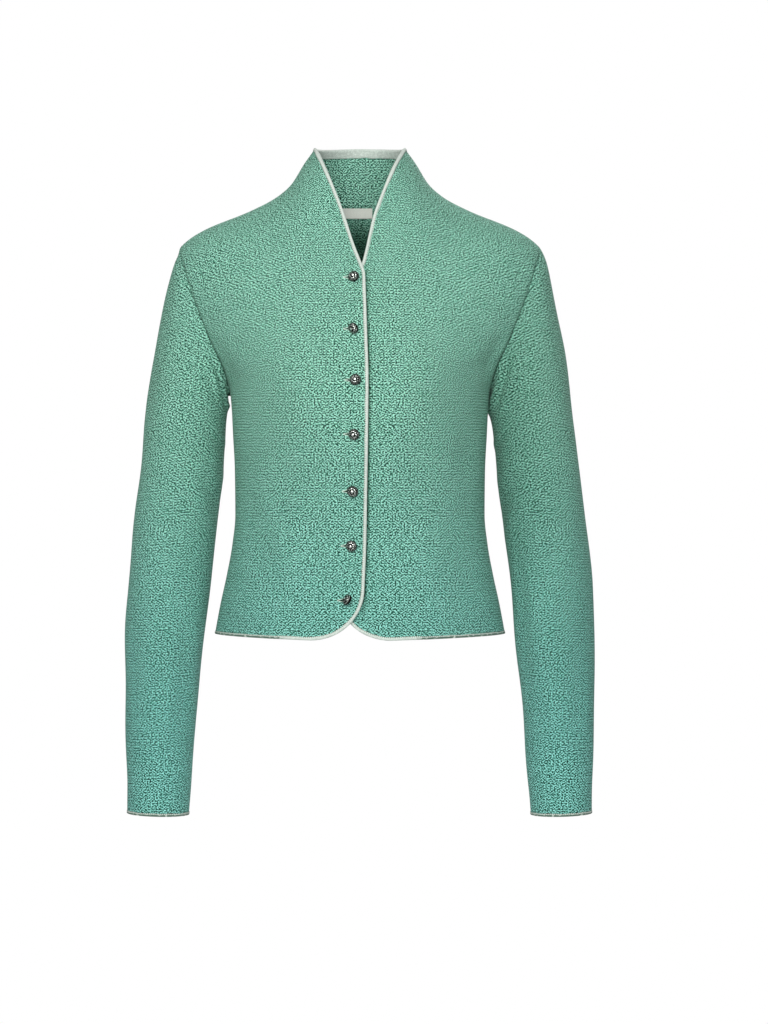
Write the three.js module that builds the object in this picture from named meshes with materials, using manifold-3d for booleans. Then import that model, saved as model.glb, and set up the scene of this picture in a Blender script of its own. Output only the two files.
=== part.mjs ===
// A women's folk cardigan in milled knit, filled out as it is worn, with nobody in it.
// Units are millimetres. +Z is up, the fronts face -Y and the wearer's right is at -X.
// The origin is midway between the shoulders, level with the base of the back neck.
// Each cloth piece is a wall of even thickness: its outer face is a grid of points on
// the garment's form, and its inner face is the same grid moved in along the normals.

import * as THREE from "three";
import { mergeVertices } from "three/addons/utils/BufferGeometryUtils.js";
import Module from "manifold-3d";

const wasm = await Module();
wasm.setup();

// ---- driving sizes ----
const clothThickness = 2;
const seamGap = 0.3;
const collarTop = { side: 69, centre: 73.5 }; // height of the collar's upper edge
const collarHalfWidth = 50; // where front and back collar meet at the upper edge
const neckPoint = 93; // half the distance between the shoulder seams' inner ends
const backNeckHeight = 12; // the collar seam at the centre back
const shoulderTip = { x: 197, z: -38 };
const underarm = { x: 143, z: -200 };
const underarmAtFront = -190; // where the underarm row meets the front edge
const underarmAtBack = -196;
const hem = { side: -462, front: -467, back: -464 };
const hemCorner = { width: 58, height: 52 }; // rounding of the fronts' lower corners
const neckRound = 85; // how far below the top line the form reaches its full depth
const shoulderRound = { from: 90, over: 80, size: 45 }; // the same, past the neck
const bust = { x: 76, z: -208, out: 9, across: 46, down: 50 };
const lap = { layerGap: 4, from: 6, to: 40, top: -14, full: -44 };
const binding = { outside: 3.1, inside: 3.1, collarInside: 8.4, thickness: 0.8, ease: 0.9 };
const button = { radius: 6.3, rim: 1.2, dome: 3.2, shank: 1.3, lift: 0.5 };
const buttonhole = { eye: 1.9, halfSlit: 0.3, length: 12 };
const label = { centre: -3.6, width: 34, bottom: 0, top: 11, thickness: 0.8 };

// ---- how finely the grids are cut ----
const frontColumns = 13;
const neckColumns = 6; // of the back and the back collar, from the centre back
const backColumns = 12;
const lowerRows = 11; // hem to underarm
const upperRows = 13; // underarm to shoulder seam
const crowding = 0.75; // how strongly the upper rows crowd towards both their ends
const collarRows = 4;
const sleeveSpans = 15;
const buttonSides = 12;
const domeSteps = 4;

// ---- tables of sections ----
// The shoulder and collar line in the front view. Inside the collar's width it runs on
// upwards, so that the depths near the front edge stay smooth.
const topLineRows = [
  { x: 0, z: 169 },
  { x: collarHalfWidth, z: collarTop.side },
  { x: 60, z: 55 },
  { x: 77, z: 28.6 },
  { x: neckPoint, z: 15.4 },
  { x: 118, z: 2.2 },
  { x: 179, z: -24.2 },
  { ...shoulderTip },
  { x: 203, z: -46 },
];

// Half width of the body, and how deep it is before and behind the side seams. Above
// the underarm the width is that of the oval which the armhole is cut from.
const bodySections = [
  { z: hem.front, width: 160.5, front: 114, back: 100 },
  { z: -432, width: 154, front: 110.5, back: 94 },
  { z: -399, width: 146.8, front: 108, back: 84 },
  { z: -366, width: 140.8, front: 108.5, back: 76 },
  { z: -333, width: 137.5, front: 113, back: 75 },
  { z: -284, width: 138, front: 124, back: 84 },
  { z: -250, width: 139.7, front: 131, back: 92 },
  { z: underarm.z, width: underarm.x, front: 133, back: 100 },
  { z: -185, width: 148, front: 131, back: 101 },
  { z: -170, width: 156.5, front: 128, back: 102 },
  { z: -153, width: 168.7, front: 123, back: 102.5 },
  { z: -121, width: 186.6, front: 114, back: 101 },
  { z: -93, width: 200, front: 105, back: 96 },
  { z: -58, width: 209, front: 92, back: 88 },
  { z: -20, width: 213, front: 79, back: 74 },
  { z: 20, width: 215, front: 66, back: 61 },
  { z: collarTop.centre, width: 215, front: 56, back: 52 },
];

// The armhole seam in the front view.
const armholeRows = [
  { z: underarm.z, x: underarm.x },
  { z: -185, x: 145.5 },
  { z: -170, x: 150 },
  { z: -153, x: 158 },
  { z: -121, x: 171.5 },
  { z: -93, x: 182 },
  { z: -57, x: 193 },
  { z: -45, x: 196.4 },
  { ...shoulderTip },
];

// The front edges: how far each lies from the centre towards its own side, so a
// negative distance is past the centre. The right front laps over the left.
const rightEdgeRows = [
  { z: hem.front, x: -2.5 },
  { z: -424, x: -4 },
  { z: -366, x: -6.4 },
  { z: -308, x: -7.5 },
  { z: -248, x: -8.5 },
  { z: -191, x: -9 },
  { z: -135, x: -7.3 },
  { z: -92, x: -5.8 },
  { z: -75, x: -5 },
  { z: -67, x: -2.3 },
  { z: -41, x: 7.6 },
  { z: -13, x: 16.5 },
  { z: 6.5, x: 23.3 },
  { z: 36, x: 35.3 },
  { z: collarTop.side, x: collarHalfWidth },
];
const leftEdgeRows = [
  { z: hem.front, x: -22 },
  { z: -115, x: -22 },
  { z: -96, x: -21 },
  { z: -84, x: -17 },
  { z: -76, x: -9 },
  { z: -67, x: 2.6 },
  { z: -52, x: 7 },
  { z: -32, x: 11.4 },
  { z: -9.5, x: 16.9 },
  { z: 11.4, x: 24.4 },
  { z: 37, x: 34.6 },
  { z: collarTop.side, x: collarHalfWidth },
];

// The buttons' centres in the front view.
const buttonRows = [
  { z: -80, x: -5.6 },
  { z: -136, x: -5 },
  { z: -191, x: -3.6 },
  { z: -248, x: -4.8 },
  { z: -308, x: -6.4 },
  { z: -366, x: -7.8 },
  { z: -424, x: -11.5 },
];

// Sleeve sections from the armhole (share 0) to the cuff (share 1): the outer and inner
// ends of each section in the front view, half its depth, and its centre along Y.
const sleeveRows = [
  { share: 0.0, outX: 197, outZ: -38, inX: 143, inZ: -200, depth: 49, y: 0 },
  { share: 0.06, outX: 205.5, outZ: -56, inX: 144, inZ: -203, depth: 49.5, y: 1 },
  { share: 0.13, outX: 212.5, outZ: -82, inX: 145.6, inZ: -207, depth: 50.5, y: 3 },
  { share: 0.21, outX: 219, outZ: -116, inX: 146.8, inZ: -213, depth: 52, y: 5 },
  { share: 0.3, outX: 226, outZ: -156, inX: 147, inZ: -224, depth: 52, y: 7 },
  { share: 0.4, outX: 232.5, outZ: -204, inX: 147.4, inZ: -244, depth: 51, y: 9 },
  { share: 0.5, outX: 239.5, outZ: -256, inX: 150, inZ: -276, depth: 50, y: 10 },
  { share: 0.6, outX: 247.8, outZ: -330, inX: 158.2, inZ: -338, depth: 49, y: 9 },
  { share: 0.7, outX: 256, outZ: -413, inX: 166, inZ: -416, depth: 47.5, y: 4 },
  { share: 0.8, outX: 257.5, outZ: -493, inX: 173.5, inZ: -494, depth: 44, y: -8 },
  { share: 0.9, outX: 255.5, outZ: -576, inX: 180.5, inZ: -577, depth: 38.5, y: -20 },
  { share: 1.0, outX: 253, outZ: -656, inX: 186, inZ: -658, depth: 33.5, y: -33 },
];
const armholeFade = 0.3; // share of the sleeve over which the armhole's shape fades

// The largest folds, as soft troughs in the front view: both ends of each, its depth,
// half its width and how far it bows to one side. A ridge has a negative depth.
const frontFolds = [
  { fromX: -160, fromZ: -140, toX: -118, toZ: -214, deep: 2.6, half: 12, bow: 5 },
  { fromX: -126, fromZ: -300, toX: -104, toZ: -420, deep: 2.2, half: 14, bow: -6 },
  { fromX: -84, fromZ: -330, toX: -62, toZ: -452, deep: -1.6, half: 16, bow: 5 },
  { fromX: 158, fromZ: -128, toX: 124, toZ: -196, deep: 2.8, half: 12, bow: -6 },
  { fromX: 121, fromZ: -232, toX: 113, toZ: -332, deep: 3.0, half: 14, bow: 5 },
  { fromX: 118, fromZ: -388, toX: 112, toZ: -456, deep: 2.4, half: 14, bow: 4 },
  { fromX: 84, fromZ: -300, toX: 64, toZ: -448, deep: -1.6, half: 17, bow: -5 },
];
const backFolds = [
  { fromX: -156, fromZ: -132, toX: -116, toZ: -204, deep: 2.6, half: 12, bow: 5 },
  { fromX: -126, fromZ: -236, toX: -112, toZ: -336, deep: 2.6, half: 14, bow: -5 },
  { fromX: -110, fromZ: -372, toX: -104, toZ: -456, deep: 2.2, half: 15, bow: 5 },
  { fromX: -52, fromZ: -380, toX: -48, toZ: -462, deep: -1.8, half: 18, bow: 3 },
  { fromX: 154, fromZ: -136, toX: 112, toZ: -208, deep: 2.7, half: 12, bow: -5 },
  { fromX: 124, fromZ: -240, toX: 110, toZ: -330, deep: 2.4, half: 14, bow: 6 },
  { fromX: 108, fromZ: -378, toX: 100, toZ: -458, deep: 2.3, half: 15, bow: -4 },
  { fromX: 46, fromZ: -384, toX: 52, toZ: -462, deep: -1.7, half: 17, bow: -3 },
];
// The sleeves' folds from the underarm: the turn round the sleeve in degrees (0 outside,
// 90 in front, 180 at the body, 270 behind) and the share of its length at both ends.
const sleeveFolds = [
  { fromTurn: 118, fromShare: 0.05, toTurn: 168, toShare: 0.33, deep: 3.4, half: 11, bow: 6 },
  { fromTurn: 118, fromShare: 0.7, toTurn: 128, toShare: 0.94, deep: 1.6, half: 12, bow: 4 },
  { fromTurn: 242, fromShare: 0.05, toTurn: 194, toShare: 0.33, deep: 3.2, half: 11, bow: -6 },
];
// How a fold swells and dies away along its line, widens, and pushes a ridge up beside it.
const foldShape = { swell: 1.3, peak: 0.9, narrow: 0.75, widen: 0.5, ridge: 0.4, ridgeAt: 1.9 };
const foldFade = { side: 10, top: 34, edgeFrom: 12, edgeOver: 34, cuff: 0.05 };
const sleeveLength = 640;
const sleeveGirthRadius = 46; // turns degrees round a sleeve into millimetres

// ---- curves through the tables ----
const mix = (a, b, t) => a + (b - a) * t;
const unit = (t) => Math.min(Math.max(t, 0), 1);
const smoothStep = (t) => unit(t) ** 2 * (3 - 2 * unit(t));

// A smooth curve through a table's rows that never overshoots them.
function through(rows, from, to) {
  const at = rows.map((row) => row[from]);
  const value = rows.map((row) => row[to]);
  const step = at.slice(1).map((a, i) => a - at[i]);
  const rise = step.map((h, i) => (value[i + 1] - value[i]) / h);
  const slope = at.map((_, i) => {
    if (i === 0) return rise[0];
    if (i === step.length) return rise[i - 1];
    if (rise[i - 1] * rise[i] <= 0) return 0;
    const before = 2 * step[i] + step[i - 1];
    const after = step[i] + 2 * step[i - 1];
    return (before + after) / (before / rise[i - 1] + after / rise[i]);
  });
  return (t) => {
    let i = 0;
    while (i < step.length - 1 && t > at[i + 1]) i += 1;
    const s = unit((t - at[i]) / step[i]);
    return (
      value[i] * (1 + 2 * s) * (1 - s) ** 2 +
      slope[i] * step[i] * s * (1 - s) ** 2 +
      value[i + 1] * s * s * (3 - 2 * s) +
      slope[i + 1] * step[i] * s * s * (s - 1)
    );
  };
}

const topLine = through(topLineRows, "x", "z");
const bodyWidth = through(bodySections, "z", "width");
const frontDepth = through(bodySections, "z", "front");
const backDepth = through(bodySections, "z", "back");
const armhole = through(armholeRows, "z", "x");
const rightEdge = through(rightEdgeRows, "z", "x");
const leftEdge = through(leftEdgeRows, "z", "x");
const sleeve = Object.fromEntries(
  Object.keys(sleeveRows[0]).map((k) => [k, through(sleeveRows, "share", k)]),
);

// ---- the garment's form ----
// How far the form stands out from the plane of the side seams at a place in the
// front view: an oval section, rounded off under the shoulder and collar line.
function standOut(x, z, depth) {
  const away = Math.abs(x);
  const across = unit(away / bodyWidth(z));
  const past = smoothStep((away - shoulderRound.from) / shoulderRound.over);
  const rounding = mix(neckRound, shoulderRound.size, past);
  const below = unit(Math.max(topLine(away) - z, 0) / rounding);
  return depth(z) * Math.sqrt(1 - across ** 2) * Math.sqrt(1 - (1 - below) ** 2);
}

// The fullness that the fronts' cut gives over the bust.
function fullness(x, z) {
  const across = (Math.abs(x) - bust.x) / bust.across;
  const down = (z - bust.z) / bust.down;
  const room = 1 - unit(Math.abs(x) / bodyWidth(z)) ** 2;
  return bust.out * room * Math.exp(-(across ** 2) - down ** 2);
}

// The left front passes under the right one, so it is set in where they lap.
function setIn(x, z) {
  const across = smoothStep((lap.to - x) / (lap.to - lap.from));
  const down = smoothStep((lap.top - z) / (lap.top - lap.full));
  return (clothThickness + lap.layerGap) * across * down;
}

// side is -1 for the wearer's right and +1 for the left.
function frontPoint(x, z, side) {
  const y = -standOut(x, z, frontDepth) - fullness(x, z) - seamGap / 2;
  return new THREE.Vector3(x, side > 0 ? y + setIn(x, z) : y, z);
}

function backPoint(x, z) {
  return new THREE.Vector3(x, standOut(x, z, backDepth) + seamGap / 2, z);
}

// How far the folds move a place: across its line each is a Gaussian with a lower ridge
// on both sides, and along the line it swells and dies away.
function foldRelief(x, z, rows) {
  return rows.reduce((total, { fromX, fromZ, toX, toZ, deep, half, bow }) => {
    const length = Math.hypot(toX - fromX, toZ - fromZ);
    const alongX = (toX - fromX) / length;
    const alongZ = (toZ - fromZ) / length;
    const share = ((x - fromX) * alongX + (z - fromZ) * alongZ) / length;
    const inside = unit(share);
    const off = (x - fromX) * alongZ - (z - fromZ) * alongX - 4 * bow * inside * (1 - inside);
    const swell = smoothStep(foldShape.swell * (1 - Math.abs(2 * share - foldShape.peak)));
    const wide = half * (foldShape.narrow + foldShape.widen * inside);
    const beside = (Math.abs(off) - foldShape.ridgeAt * wide) / wide;
    const trough = Math.exp(-((off / wide) ** 2)) - foldShape.ridge * Math.exp(-(beside ** 2));
    return total - deep * swell * trough;
  }, 0);
}

const probe = 0.5; // how far apart the form is sampled for a normal

// The outward normal of a surface given as a function of x and z.
function formNormal(point, x, z) {
  const across = point(x + probe, z).sub(point(x - probe, z));
  const up = point(x, z + probe).sub(point(x, z - probe));
  const normal = across.cross(up).normalize();
  return normal.y * point(x, z).y < 0 ? normal.negate() : normal;
}

// At the shoulder, collar and side seams the normals lie in the XZ plane, so that the
// walls of the two pieces end in parallel faces.
function topNormal(x) {
  const slope = (topLine(Math.abs(x) + probe) - topLine(Math.abs(x) - probe)) / probe;
  return new THREE.Vector3((-slope / 2) * Math.sign(x), 0, 1).normalize();
}

function sideNormal(side, z) {
  const slope = (bodyWidth(z + probe) - bodyWidth(z - probe)) / probe;
  return new THREE.Vector3(side, 0, -slope / 2).normalize();
}

// ---- grids ----
// A panel is an outer grid of rows of THREE.Vector3, the outward normals beside it, and
// whether its plain side, columns crossed with rows, faces in.
function makePanel(grid, turned, closed = false) {
  const rows = grid.length;
  const columns = grid[0].length;
  const near = (i) =>
    closed ? (i + columns) % columns : Math.min(Math.max(i, 0), columns - 1);
  const normals = grid.map((row, j) =>
    row.map((_, i) => {
      const across = row[near(i + 1)].clone().sub(row[near(i - 1)]);
      const above = grid[Math.min(j + 1, rows - 1)][i].clone();
      const up = above.sub(grid[Math.max(j - 1, 0)][i]);
      return across.cross(up).multiplyScalar(turned ? -1 : 1).normalize();
    }),
  );
  return { grid, normals, turned, closed };
}

const moved = (point, direction, distance) =>
  point.clone().addScaledVector(direction, distance);

// Squeezes the square corner of a front panel into a rounded one. dx and dz are
// distances from the edge and the hem; the result is the same pair, moved.
function roundCorner(dx, dz) {
  const p = 1 - dx / hemCorner.width;
  const q = 1 - dz / hemCorner.height;
  if (p <= 0 || q <= 0) return { dx, dz };
  return {
    dx: (1 - p * Math.sqrt(1 - (q * q) / 2)) * hemCorner.width,
    dz: (1 - q * Math.sqrt(1 - (p * p) / 2)) * hemCorner.height,
  };
}

// The rows of a body panel, hem first: the height at the side seam or armhole, the
// height at the centre or front edge, and how far the row follows the upper boundary.
function panelRows(centre) {
  const rows = [];
  for (let j = 0; j < lowerRows; j += 1) {
    const t = j / lowerRows;
    rows.push({
      side: mix(hem.side, underarm.z, t),
      centre: mix(centre.bottom, centre.underarm, t),
      follow: 0,
    });
  }
  for (let j = 0; j <= upperRows; j += 1) {
    const even = j / upperRows;
    const t = mix(even, (1 - Math.cos(Math.PI * even)) / 2, crowding);
    rows.push({
      side: mix(underarm.z, shoulderTip.z, t),
      centre: mix(centre.underarm, centre.top, t),
      follow: smoothStep(t),
    });
  }
  return rows;
}

const sideAt = (z) => (z > underarm.z ? armhole(z) : bodyWidth(z));
const lastRow = lowerRows + upperRows;

// A place on a panel, moved out by its folds, which die away at its seams.
function folded(form, x, z, rows, top, fromEdge) {
  const side = smoothStep((sideAt(z) - Math.abs(x)) / foldFade.side);
  const upper = smoothStep((top - z) / foldFade.top);
  const edge = smoothStep((fromEdge - foldFade.edgeFrom) / foldFade.edgeOver);
  const relief = side * upper * edge * foldRelief(x, z, rows);
  return moved(form(x, z), formNormal(form, x, z), relief);
}

// Distances from the centre along one row, spaced evenly round the oval section.
function roundTheOval(row, edgeX, columns) {
  const oval = bodyWidth(row.side);
  const from = Math.asin(edgeX / oval);
  const to = Math.asin(unit(sideAt(row.side) / oval));
  const spaced = (i) => oval * Math.sin(mix(from, to, i / columns));
  return Array.from({ length: columns + 1 }, (_, i) => spaced(i));
}

function frontPanel(side) {
  const edge = side < 0 ? rightEdge : leftEdge;
  const form = (x, z) => frontPoint(x, z, side);
  const centre = { bottom: hem.front, underarm: underarmAtFront, top: collarTop.side };
  const rows = panelRows(centre);
  const grid = rows.map((row) => {
    const edgeX = edge(row.centre);
    const width = sideAt(row.side) - edgeX;
    return roundTheOval(row, edgeX, frontColumns).map((away) => {
      const t = (away - edgeX) / width;
      const topX = mix(collarHalfWidth, shoulderTip.x, t);
      const bow = topLine(topX) - mix(collarTop.side, shoulderTip.z, t);
      const hemZ = mix(hem.front, hem.side, t);
      const z = mix(row.centre, row.side, t) + row.follow * bow;
      const cut = roundCorner(away - edgeX, z - hemZ);
      const x = (edgeX + cut.dx) * side;
      const height = hemZ + cut.dz;
      const top = topLine(Math.max(Math.abs(x), collarHalfWidth));
      const fromEdge = x * side - edge(height);
      return folded(form, x, height, frontFolds, top, fromEdge);
    });
  });
  const panel = makePanel(grid, side < 0);
  rows.forEach((row, j) => {
    if (j <= lowerRows) panel.normals[j][frontColumns] = sideNormal(side, row.side);
  });
  panel.normals[lastRow] = grid[lastRow].map((p) => topNormal(p.x));
  return panel;
}

// The upper boundary of the back: the collar seam, then the shoulder seam.
function backTop(x) {
  if (x >= neckPoint) return topLine(x);
  return mix(backNeckHeight, topLine(neckPoint), (x / neckPoint) ** 2);
}

// Places along the collar seam, from the centre back to the neck point, as shares.
const neckShare = (i) => Math.sin((i / neckColumns) * (Math.PI / 2));

function backPanel() {
  const centre = { bottom: hem.back, underarm: underarmAtBack, top: backNeckHeight };
  const rows = panelRows(centre);
  const halfColumns = Array.from({ length: backColumns + 1 }, (_, i) => i);
  const shoulderColumns = backColumns - neckColumns;
  const grid = rows.map((row) => {
    const lowX = roundTheOval(row, 0, backColumns);
    const half = halfColumns.map((i) => {
      const along = (i - neckColumns) / shoulderColumns;
      const past = mix(neckPoint, shoulderTip.x, along);
      const topX = i <= neckColumns ? neckPoint * neckShare(i) : past;
      const x = i < backColumns ? mix(lowX[i], topX, row.follow) : lowX[i];
      const t = x / lowX[backColumns];
      const bow = backTop(topX) - mix(centre.top, shoulderTip.z, topX / shoulderTip.x);
      return { x, z: mix(row.centre, row.side, t) + row.follow * bow };
    });
    const place = (x, z) => folded(backPoint, x, z, backFolds, backTop(Math.abs(x)), Infinity);
    const mirrored = half.slice(1).map((p) => place(-p.x, p.z));
    return [...mirrored.reverse(), ...half.map((p) => place(p.x, p.z))];
  });
  const panel = makePanel(grid, true);
  rows.forEach((row, j) => {
    if (j > lowerRows) return;
    panel.normals[j][0] = sideNormal(-1, row.side);
    panel.normals[j][2 * backColumns] = sideNormal(1, row.side);
  });
  panel.normals[lastRow] = grid[lastRow].map((p, i) =>
    Math.abs(i - backColumns) >= neckColumns
      ? topNormal(p.x)
      : formNormal(backPoint, p.x, p.z),
  );
  return panel;
}

// The back collar stands on the back's neckline and meets the fronts at the top line.
function collarPanel() {
  const grid = [];
  for (let j = 0; j <= collarRows; j += 1) {
    const up = j / collarRows;
    const sideX = mix(neckPoint, collarHalfWidth, up);
    const centre = mix(backNeckHeight, collarTop.centre, up);
    const lift = j === 0 ? seamGap : 0;
    const row = [];
    for (let i = -neckColumns; i <= neckColumns; i += 1) {
      const share = neckShare(i);
      const x = sideX * share;
      const z = mix(centre, topLine(sideX), share ** 2);
      row.push(backPoint(x, z).add(new THREE.Vector3(0, 0, lift)));
    }
    grid.push(row);
  }
  const panel = makePanel(grid, true);
  grid.forEach((row, j) => {
    for (const i of [0, 2 * neckColumns]) panel.normals[j][i] = topNormal(row[i].x);
  });
  for (let i = 1; i < 2 * neckColumns; i += 1) {
    const p = grid[0][i];
    panel.normals[0][i] = formNormal(backPoint, p.x, p.z - seamGap);
  }
  return panel;
}

// ---- sleeves ----
// The armhole's points from the underarm up the front and down the back, each with the
// panel's normal there and the place in that panel's grid.
function armholeRing(side, front, back) {
  const backSide = side < 0 ? 0 : 2 * backColumns;
  const ring = [];
  for (let j = lowerRows; j <= lastRow; j += 1) {
    ring.push({ panel: front, j, i: frontColumns });
  }
  for (let j = lastRow - 1; j > lowerRows; j -= 1) {
    ring.push({ panel: back, j, i: backSide });
  }
  return ring.map((place) => {
    const shared = place.j === lowerRows || place.j === lastRow;
    const point = place.panel.grid[place.j][place.i].clone();
    if (shared) point.y = 0;
    return { ...place, shared, point, twin: { panel: back, i: backSide } };
  });
}

function sleevePanel(side, front, back) {
  const ring = armholeRing(side, front, back);
  const middle = (underarm.z + shoulderTip.z) / 2;
  const half = (shoulderTip.z - underarm.z) / 2;
  const angles = ring.map(({ point, panel }) => {
    const angle = Math.acos(Math.max(-1, Math.min(1, (point.z - middle) / half)));
    return panel === front ? angle : -angle;
  });
  const girth = THREE.MathUtils.degToRad(sleeveGirthRadius); // mm for each degree of turn
  const oval = (share, angle) => {
    const at = (end, axis) => sleeve[end + axis](share);
    const along = (1 + Math.cos(angle)) / 2;
    const x = mix(at("in", "X"), at("out", "X"), along);
    const z = mix(at("in", "Z"), at("out", "Z"), along);
    const y = sleeve.y(share) - sleeve.depth(share) * Math.sin(angle);
    return new THREE.Vector3(x * side, y, z);
  };
  const grid = [];
  for (let r = 0; r <= sleeveSpans; r += 1) {
    const share = r / sleeveSpans;
    const keep = 1 - smoothStep(share / armholeFade);
    grid.push(
      ring.map(({ point }, k) => {
        const apart = point.clone().sub(oval(0, angles[k]));
        return moved(oval(share, angles[k]), apart, keep);
      }),
    );
  }
  const smooth = makePanel(grid, side > 0, true);
  const folds = sleeveFolds.map(({ fromTurn, toTurn, fromShare, toShare, ...rest }) => ({
    fromX: fromTurn * girth,
    toX: toTurn * girth,
    fromZ: fromShare * sleeveLength,
    toZ: toShare * sleeveLength,
    ...rest,
  }));
  const foldedGrid = grid.map((row, r) =>
    row.map((point, k) => {
      const share = r / sleeveSpans;
      const turn = THREE.MathUtils.euclideanModulo(THREE.MathUtils.radToDeg(angles[k]), 360);
      const atCuff = smoothStep((1 - share) / foldFade.cuff);
      const relief = foldRelief(turn * girth, share * sleeveLength, folds) * atCuff;
      return moved(point, smooth.normals[r][k], r === 0 ? 0 : relief);
    }),
  );
  const panel = makePanel(foldedGrid, side > 0, true);
  // The armhole seam is mitred: both walls end along the line between their normals.
  const mitres = ring.map((place, k) => {
    const mitre = panel.normals[0][k].clone();
    mitre.add(place.panel.normals[place.j][place.i]);
    if (place.shared) mitre.y = 0;
    return mitre.normalize();
  });
  const count = ring.length;
  const shifted = ring.map(({ point }, k) => {
    const ahead = ring[(k + 1) % count].point.clone();
    const along = ahead.sub(ring[(k + count - 1) % count].point);
    const apart = along.cross(mitres[k]).multiplyScalar(side).normalize();
    return moved(point, apart, seamGap);
  });
  panel.grid[0] = shifted;
  panel.normals[0] = mitres;
  ring.forEach((place, k) => {
    place.panel.normals[place.j][place.i] = mitres[k].clone();
    if (place.shared) place.twin.panel.normals[place.j][place.twin.i] = mitres[k].clone();
  });
  return panel;
}

// ---- closed meshes ----
class MeshMaker {
  constructor() {
    this.positions = [];
    this.indices = [];
  }

  add(points) {
    const first = this.positions.length / 3;
    points.forEach((p) => this.positions.push(p.x, p.y, p.z));
    return points.map((_, i) => first + i);
  }

  quad(a, b, c, d) {
    this.indices.push(a, b, c, a, c, d);
  }

  // Quads between two lines of vertices; turned swaps the side that they face.
  strip(lower, upper, turned, closed = false) {
    const count = closed ? lower.length : lower.length - 1;
    for (let i = 0; i < count; i += 1) {
      const k = (i + 1) % lower.length;
      if (turned) this.quad(lower[i], upper[i], upper[k], lower[k]);
      else this.quad(lower[i], lower[k], upper[k], upper[i]);
    }
  }

  geometry() {
    const made = new THREE.BufferGeometry();
    const places = new Float32Array(this.positions);
    made.setAttribute("position", new THREE.BufferAttribute(places, 3));
    made.setIndex(this.indices);
    return made;
  }
}

// A wall under a panel's outer grid. Both faces can be moved in by the same distance.
function wall(panel, thickness = clothThickness, setBack = 0) {
  const { grid, normals, turned, closed } = panel;
  const face = (depth) =>
    grid.map((row, j) => row.map((p, i) => moved(p, normals[j][i], -depth)));
  const mesh = new MeshMaker();
  const outer = face(setBack).map((row) => mesh.add(row));
  const inner = face(setBack + thickness).map((row) => mesh.add(row));
  for (let j = 0; j + 1 < outer.length; j += 1) {
    mesh.strip(outer[j], outer[j + 1], turned, closed);
    mesh.strip(inner[j], inner[j + 1], !turned, closed);
  }
  mesh.strip(outer[0], inner[0], !turned, closed);
  mesh.strip(outer.at(-1), inner.at(-1), turned, closed);
  if (!closed) {
    const column = (rows, i) => rows.map((row) => row.at(i));
    mesh.strip(column(outer, 0), column(inner, 0), turned);
    mesh.strip(column(outer, -1), column(inner, -1), !turned);
  }
  return mesh.geometry();
}

// A folded strip over a raw edge. Each place on the edge has its outer point and its
// normal, and those of the next place in from the edge, which the strip's legs lie
// along. The panel lies on the side of normal x direction of travel, or opposite to it
// where turned is true.
function foldedStrip(places, turned, closed = false) {
  const count = places.length;
  const near = (k) =>
    closed ? (k + count) % count : Math.min(Math.max(k, 0), count - 1);
  const under = clothThickness + seamGap;
  const skin = seamGap + binding.thickness;
  const sections = places.map(({ point, normal, next, flat, inside }, k) => {
    const travel = places[near(k + 1)].point.clone().sub(places[near(k - 1)].point);
    const inward = normal.clone().cross(travel).multiplyScalar(turned ? -1 : 1);
    if (flat) inward.y = 0;
    inward.normalize();
    const width = next.point.clone().sub(point).dot(inward);
    const beyond = (out) => moved(moved(point, inward, -seamGap), normal, out);
    const fold = (out) => moved(moved(point, inward, -skin), normal, out);
    const along = (length, out) => {
      const share = Math.min(length / width, 1);
      const place = point.clone().lerp(next.point, share);
      return moved(place, normal.clone().lerp(next.normal, share).normalize(), out);
    };
    const off = binding.ease;
    return [
      along(binding.outside, off + binding.thickness),
      fold(skin),
      fold(-under - binding.thickness),
      along(inside, -clothThickness - off - binding.thickness),
      along(inside, -clothThickness - off),
      beyond(-under),
      beyond(seamGap),
      along(binding.outside, off),
    ];
  });
  const mesh = new MeshMaker();
  const rings = sections.map((section) => mesh.add(section));
  const spans = closed ? count : count - 1;
  for (let k = 0; k < spans; k += 1) {
    mesh.strip(rings[k], rings[(k + 1) % count], turned, true);
  }
  if (!closed) {
    // Each end is three faces: the outer leg, the fold and the inner leg.
    for (const end of [0, count - 1]) {
      const [a, b, c, d, e, f, g, h] = rings[end];
      for (const [p, q, r, s] of [
        [a, b, g, h],
        [b, c, f, g],
        [c, d, e, f],
      ]) {
        if ((end === 0) !== turned) mesh.quad(p, s, r, q);
        else mesh.quad(p, q, r, s);
      }
    }
  }
  return mesh.geometry();
}

// ---- materials ----
const standard = (color, roughness, metalness = 0) =>
  new THREE.MeshStandardMaterial({ color, roughness, metalness });

const milledKnit = standard(0x6ba58d, 0.95);
const paleBraid = standard(0xcdd6cc, 0.9);
const agedMetal = standard(0x8c8c84, 0.35, 1);
const labelTape = standard(0xe2e4da, 0.8);

const cardigan = new THREE.Group();

function addPiece(name, geometry, material) {
  const mesh = new THREE.Mesh(geometry, material);
  mesh.name = name;
  cardigan.add(mesh);
  return mesh;
}

// ---- joining and cutting ----
function toSolid(geometry) {
  const bare = geometry.clone();
  bare.deleteAttribute("normal");
  bare.deleteAttribute("uv");
  const merged = mergeVertices(bare);
  return new wasm.Manifold(
    new wasm.Mesh({
      numProp: 3,
      vertProperties: merged.attributes.position.array,
      triVerts: new Uint32Array(merged.index.array),
    }),
  );
}

function fromSolid(solid) {
  const mesh = solid.getMesh();
  const made = new THREE.BufferGeometry();
  made.setAttribute("position", new THREE.BufferAttribute(mesh.vertProperties, 3));
  made.setIndex(new THREE.BufferAttribute(mesh.triVerts, 1));
  return made;
}

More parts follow.
